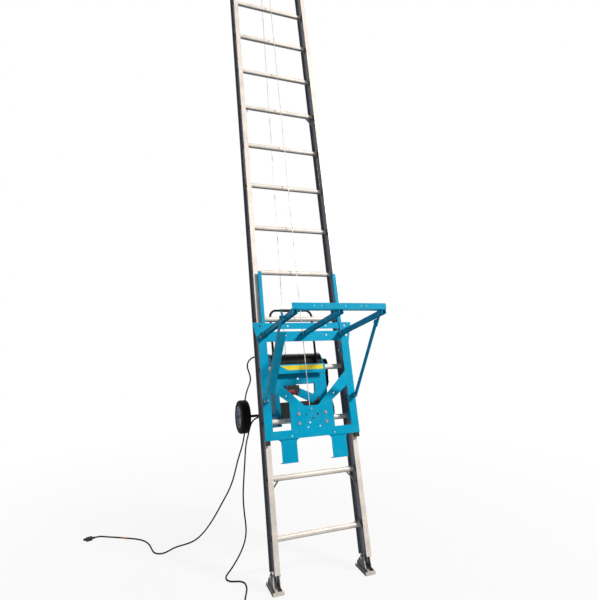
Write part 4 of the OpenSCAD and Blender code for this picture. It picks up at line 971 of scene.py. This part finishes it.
class HOIST_OT_fittings(bpy.types.Operator):
    """Add the weld beads, washers, cover screws, handle grip and button rims"""

    bl_idname = "hoist.fittings"
    bl_label = "Fittings"

    def execute(self, context):
        self.carriage_welds()
        self.platform_welds()
        self.washers()
        self.screws()
        self.grip()
        self.button_rims()
        return {"FINISHED"}

    def carriage_welds(self):
        """Beads beside the lugs on the plate, and stitches along the top of the landing feet."""
        front, bottom = ladder_box("carriage_plate")[0].yz
        back = ladder_box("carriage_plate")[1].y
        inset, lug_bead = 3 * MM, 5 * MM
        half_stitch, stitch_bead = 13 * MM, 6 * MM
        mesh = bmesh.new()
        for low, high in solids_on_ladder("hinge_lugs"):
            for x in (low.x, high.x):
                add_bead(mesh, (x, front, low.z + inset), (x, front, high.z - inset), lug_bead)
        for low, high in solids_on_ladder("landing_feet"):
            for share in (0.24, 0.5, 0.76):
                x = low.x + share * (high.x - low.x)
                start, end = (x - half_stitch, back, bottom), (x + half_stitch, back, bottom)
                add_bead(mesh, start, end, stitch_bead)
        mesh_piece("carriage_welds", mesh, "carriage", "blue_steel")

    def platform_welds(self):
        """Beads under the foot of the lip, along both walls of each arm."""
        low, high = ladder_box("middle_arm")
        wide = high.x - low.x
        lefts = (ladder_box("left_arm")[1].x - wide, low.x, ladder_box("right_arm")[0].x)
        lip_low, lip_high = ladder_box("front_lip")
        front, back, bead = lip_low.y + 9 * MM, lip_high.y - 2 * MM, 5 * MM
        mesh = bmesh.new()
        for left in lefts:
            for x in (left, left + wide):
                add_bead(mesh, (x, front, high.z), (x, back, high.z), bead)
        mesh_piece("platform_welds", mesh, "platform", "blue_steel")

    def washers(self):
        """A flat washer under the head of each bolt in the carriage plate."""
        front = ladder_box("carriage_plate")[0].y
        forward = on_ladder(0, -1, 0)
        mesh = bmesh.new()
        for low, high in solids_on_ladder("carriage_bolts"):
            middle = (low + high) / 2
            add_ring(mesh, WASHER, on_ladder(middle.x, front, middle.z), forward)
        mesh_piece("bolt_washers", mesh, "carriage", "zinc_steel", smooth=False)

    def screws(self):
        """The screws of the switch head, the wiring box and the chain case."""
        head, wiring = sorted(solids_on_ladder("control_box"), key=lambda box: box[0].y)
        inset, radius = 7 * MM, 3.4 * MM
        mesh = bmesh.new()
        for box, corner, way in ((head, 0, -1), (wiring, 1, 1)):
            for x in (box[0].x + inset, box[1].x - inset):
                for z in (box[0].z + inset, box[1].z - inset):
                    add_screw(mesh, (x, box[corner].y, z), (0, way, 0), radius)
        low, high = ladder_box("chain_case")
        middle, reach = (low.y + high.y) / 2, (high.y - low.y) / 2
        for centre, start in ((low.z + reach, 180), (high.z - reach, 0)):
            for angle in (25, 90, 155):
                a = math.radians(start + angle)
                y = middle + (reach - inset) * math.cos(a)
                z = centre + (reach - inset) * math.sin(a)
                add_screw(mesh, (high.x, y, z), (1, 0, 0), radius)
        mesh_piece("cover_screws", mesh, "ladder", "zinc_steel")

    def grip(self):
        """A ribbed rubber sleeve on the top bar of the carry handle."""
        low, high = ladder_box("carry_handle")
        bore = (high.y - low.y) / 2
        half, rib = 72 * MM, 8 * MM
        wall, ridge = 1.8 * MM, 0.9 * MM
        profile = [(0, bore)]
        for k in range(GRIP_STEPS + 1):
            run = 2 * half * k / GRIP_STEPS
            profile.append((run, bore + wall + ridge * abs(math.sin(math.pi * run / rib))))
        profile.append((2 * half, bore))
        start = on_ladder((low.x + high.x) / 2 - half, (low.y + high.y) / 2, high.z - bore)
        mesh = bmesh.new()
        add_turned(mesh, profile, start, (1, 0, 0), GRIP_SIDES, closed=True)
        mesh_piece("handle_grip", mesh, "ladder", "black_rubber")

    def button_rims(self):
        """A rim round each of the two buttons of the handset."""
        low, high = (Vector(corner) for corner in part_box("pendant"))
        stand = 5 * MM
        mesh = bmesh.new()
        for along in (70 * MM, 105 * MM):
            place = Vector(((low.x + high.x) / 2, high.y - along, high.z - stand))
            add_ring(mesh, BUTTON_RIM, place, (0, 0, 1))
        mesh_piece("button_rims", mesh, "ladder", "black_plastic", "roller_nylon", smooth=False)


# Stage


def seen_rays(node):
    """One where the surroundings are seen, straight, mirrored or through glass."""
    rays = [
        node("ShaderNodeLightPath", output=name)
        for name in ("Is Camera Ray", "Is Glossy Ray", "Is Transmission Ray")
    ]
    return node(*LARGER, i0=node(*LARGER, i0=rays[0], i1=rays[1]), i1=rays[2])


LIT_AT = Vector((0, 0.4, 1.6))
SENSOR_MM = 36
FLOOR_HALF = 60
# Place, side and tint of each light.
LIGHTS = {
    "key": ((4.5, -4.1, 6.5), 1.2, "#FFFAF2"),
    "fill": ((-4.5, -2.5, 3.0), 3.0, "#EAF1FF"),
    "back": ((3.2, 5.6, 3.6), 3.0, "#FFFFFF"),
}


def area_light(name, place, size, tint, power):
    """A soft square light that looks at a place in the lower half of the hoist."""
    data = bpy.data.lights.new(name, "AREA")
    data.color = linear(tint)[:3]
    data.size = size
    data.energy = power
    light = add_object(name, data)
    light.location = place
    light.rotation_euler = (LIT_AT - Vector(place)).to_track_quat("-Z", "Y").to_euler()


class HOIST_OT_stage(bpy.types.Operator):
    """Set the camera, the pale floor and the lights"""

    bl_idname = "hoist.stage"
    bl_label = "Stage"

    def execute(self, context):
        stage = context.scene.hoist_stage
        scene = context.scene
        scene.view_settings.view_transform = "Standard"
        data = bpy.data.cameras.new("photo_camera")
        data.sensor_width = SENSOR_MM
        data.lens = stage.focal_pixels / stage.picture_height * data.sensor_width
        camera = add_object("photo_camera", data)
        camera.location = stage.camera_at
        camera.rotation_euler = (math.pi / 2 + stage.pitch, 0, -stage.yaw)
        scene.camera = camera
        self.floor()
        self.sky(scene, stage.sky)
        for name, (place, size, tint) in LIGHTS.items():
            area_light(name + "_light", place, size, tint, getattr(stage, name))
        return {"FINISHED"}

    def floor(self):
        """A pale matt floor that looks white, but for a soft shadow near the hoist."""
        mesh = bmesh.new()
        bmesh.ops.create_grid(mesh, x_segments=1, y_segments=1, size=FLOOR_HALF)
        floor = add_mesh("pale_floor", mesh)
        material, node, place = new_material("pale_floor")
        matt = node("ShaderNodeBsdfPrincipled", Base_Color=linear("#C2C2C0"), Roughness=0.9)
        far = node("ShaderNodeVectorMath", {"operation": "LENGTH"}, "Value", i0=place)
        glow = node(RANGE, Value=far, From_Min=1.0, From_Max=3.5, To_Min=0.9, To_Max=1.0)
        glow = node(*TIMES, i0=glow, i1=seen_rays(node))
        white = node("ShaderNodeEmission", Color=(1, 1, 1, 1), Strength=1.0)
        mixed = node("ShaderNodeMixShader", i0=glow, i1=matt, i2=white)
        node("ShaderNodeOutputMaterial", Surface=mixed)
        floor.data.materials.append(material)

    def sky(self, scene, strength):
        """White surroundings, at a plain strength for light and at one where they are seen."""
        world = bpy.data.worlds.new("white_surroundings")
        scene.world = world
        world.use_nodes = True
        world.node_tree.nodes.clear()
        node = partial(add_node, world.node_tree)
        seen = seen_rays(node)
        level = node(RANGE, Value=seen, To_Min=strength, To_Max=1.0)
        tint = node(*MIX, i0=seen, i6=linear("#DCE8FF"), i7=linear("#FFFFFF"))
        light = node("ShaderNodeBackground", Color=tint, Strength=level)
        node("ShaderNodeOutputWorld", Surface=light)


class HOIST_PT_panel(bpy.types.Panel):
    """Lists the steps that dress the hoist"""

    bl_idname = "HOIST_PT_panel"
    bl_label = "Ladder material hoist"
    bl_space_type = "VIEW_3D"
    bl_region_type = "UI"
    bl_category = "Hoist"

    def draw(self, context):
        for step in STEPS:
            self.layout.operator(step.bl_idname)
        for group in GROUPS:
            settings = getattr(context.scene, group)
            for name in settings.bl_rna.properties.keys():
                if name not in ("rna_type", "name"):
                    self.layout.prop(settings, name)


GROUPS = {
    "hoist_finish": HoistFinish,
    "hoist_rope": HoistRope,
    "hoist_lead": HoistLead,
    "hoist_stage": HoistStage,
}
STEPS = (
    HOIST_OT_stage,
    HOIST_OT_leads,
    HOIST_OT_ropes,
    HOIST_OT_ladder,
    HOIST_OT_carriage,
    HOIST_OT_platform,
    HOIST_OT_power_unit,
    HOIST_OT_fittings,
)


def register():
    for group in GROUPS.values():
        bpy.utils.register_class(group)
    for name, group in GROUPS.items():
        setattr(bpy.types.Scene, name, bpy.props.PointerProperty(type=group))
    for step in (*STEPS, HOIST_PT_panel):
        bpy.utils.register_class(step)


def unregister():
    for step in reversed((*STEPS, HOIST_PT_panel)):
        bpy.utils.unregister_class(step)
    for name in GROUPS:
        delattr(bpy.types.Scene, name)
    for group in reversed(list(GROUPS.values())):
        bpy.utils.unregister_class(group)


def main():
    register()
    make_materials(bpy.context.scene.hoist_finish)
    bpy.ops.hoist.stage()
    bpy.ops.hoist.leads()
    bpy.ops.hoist.ropes()
    bpy.ops.hoist.ladder()
    bpy.ops.hoist.carriage()
    bpy.ops.hoist.platform()
    bpy.ops.hoist.power_unit()
    bpy.ops.hoist.fittings()


if __name__ == "__main__":
    main()
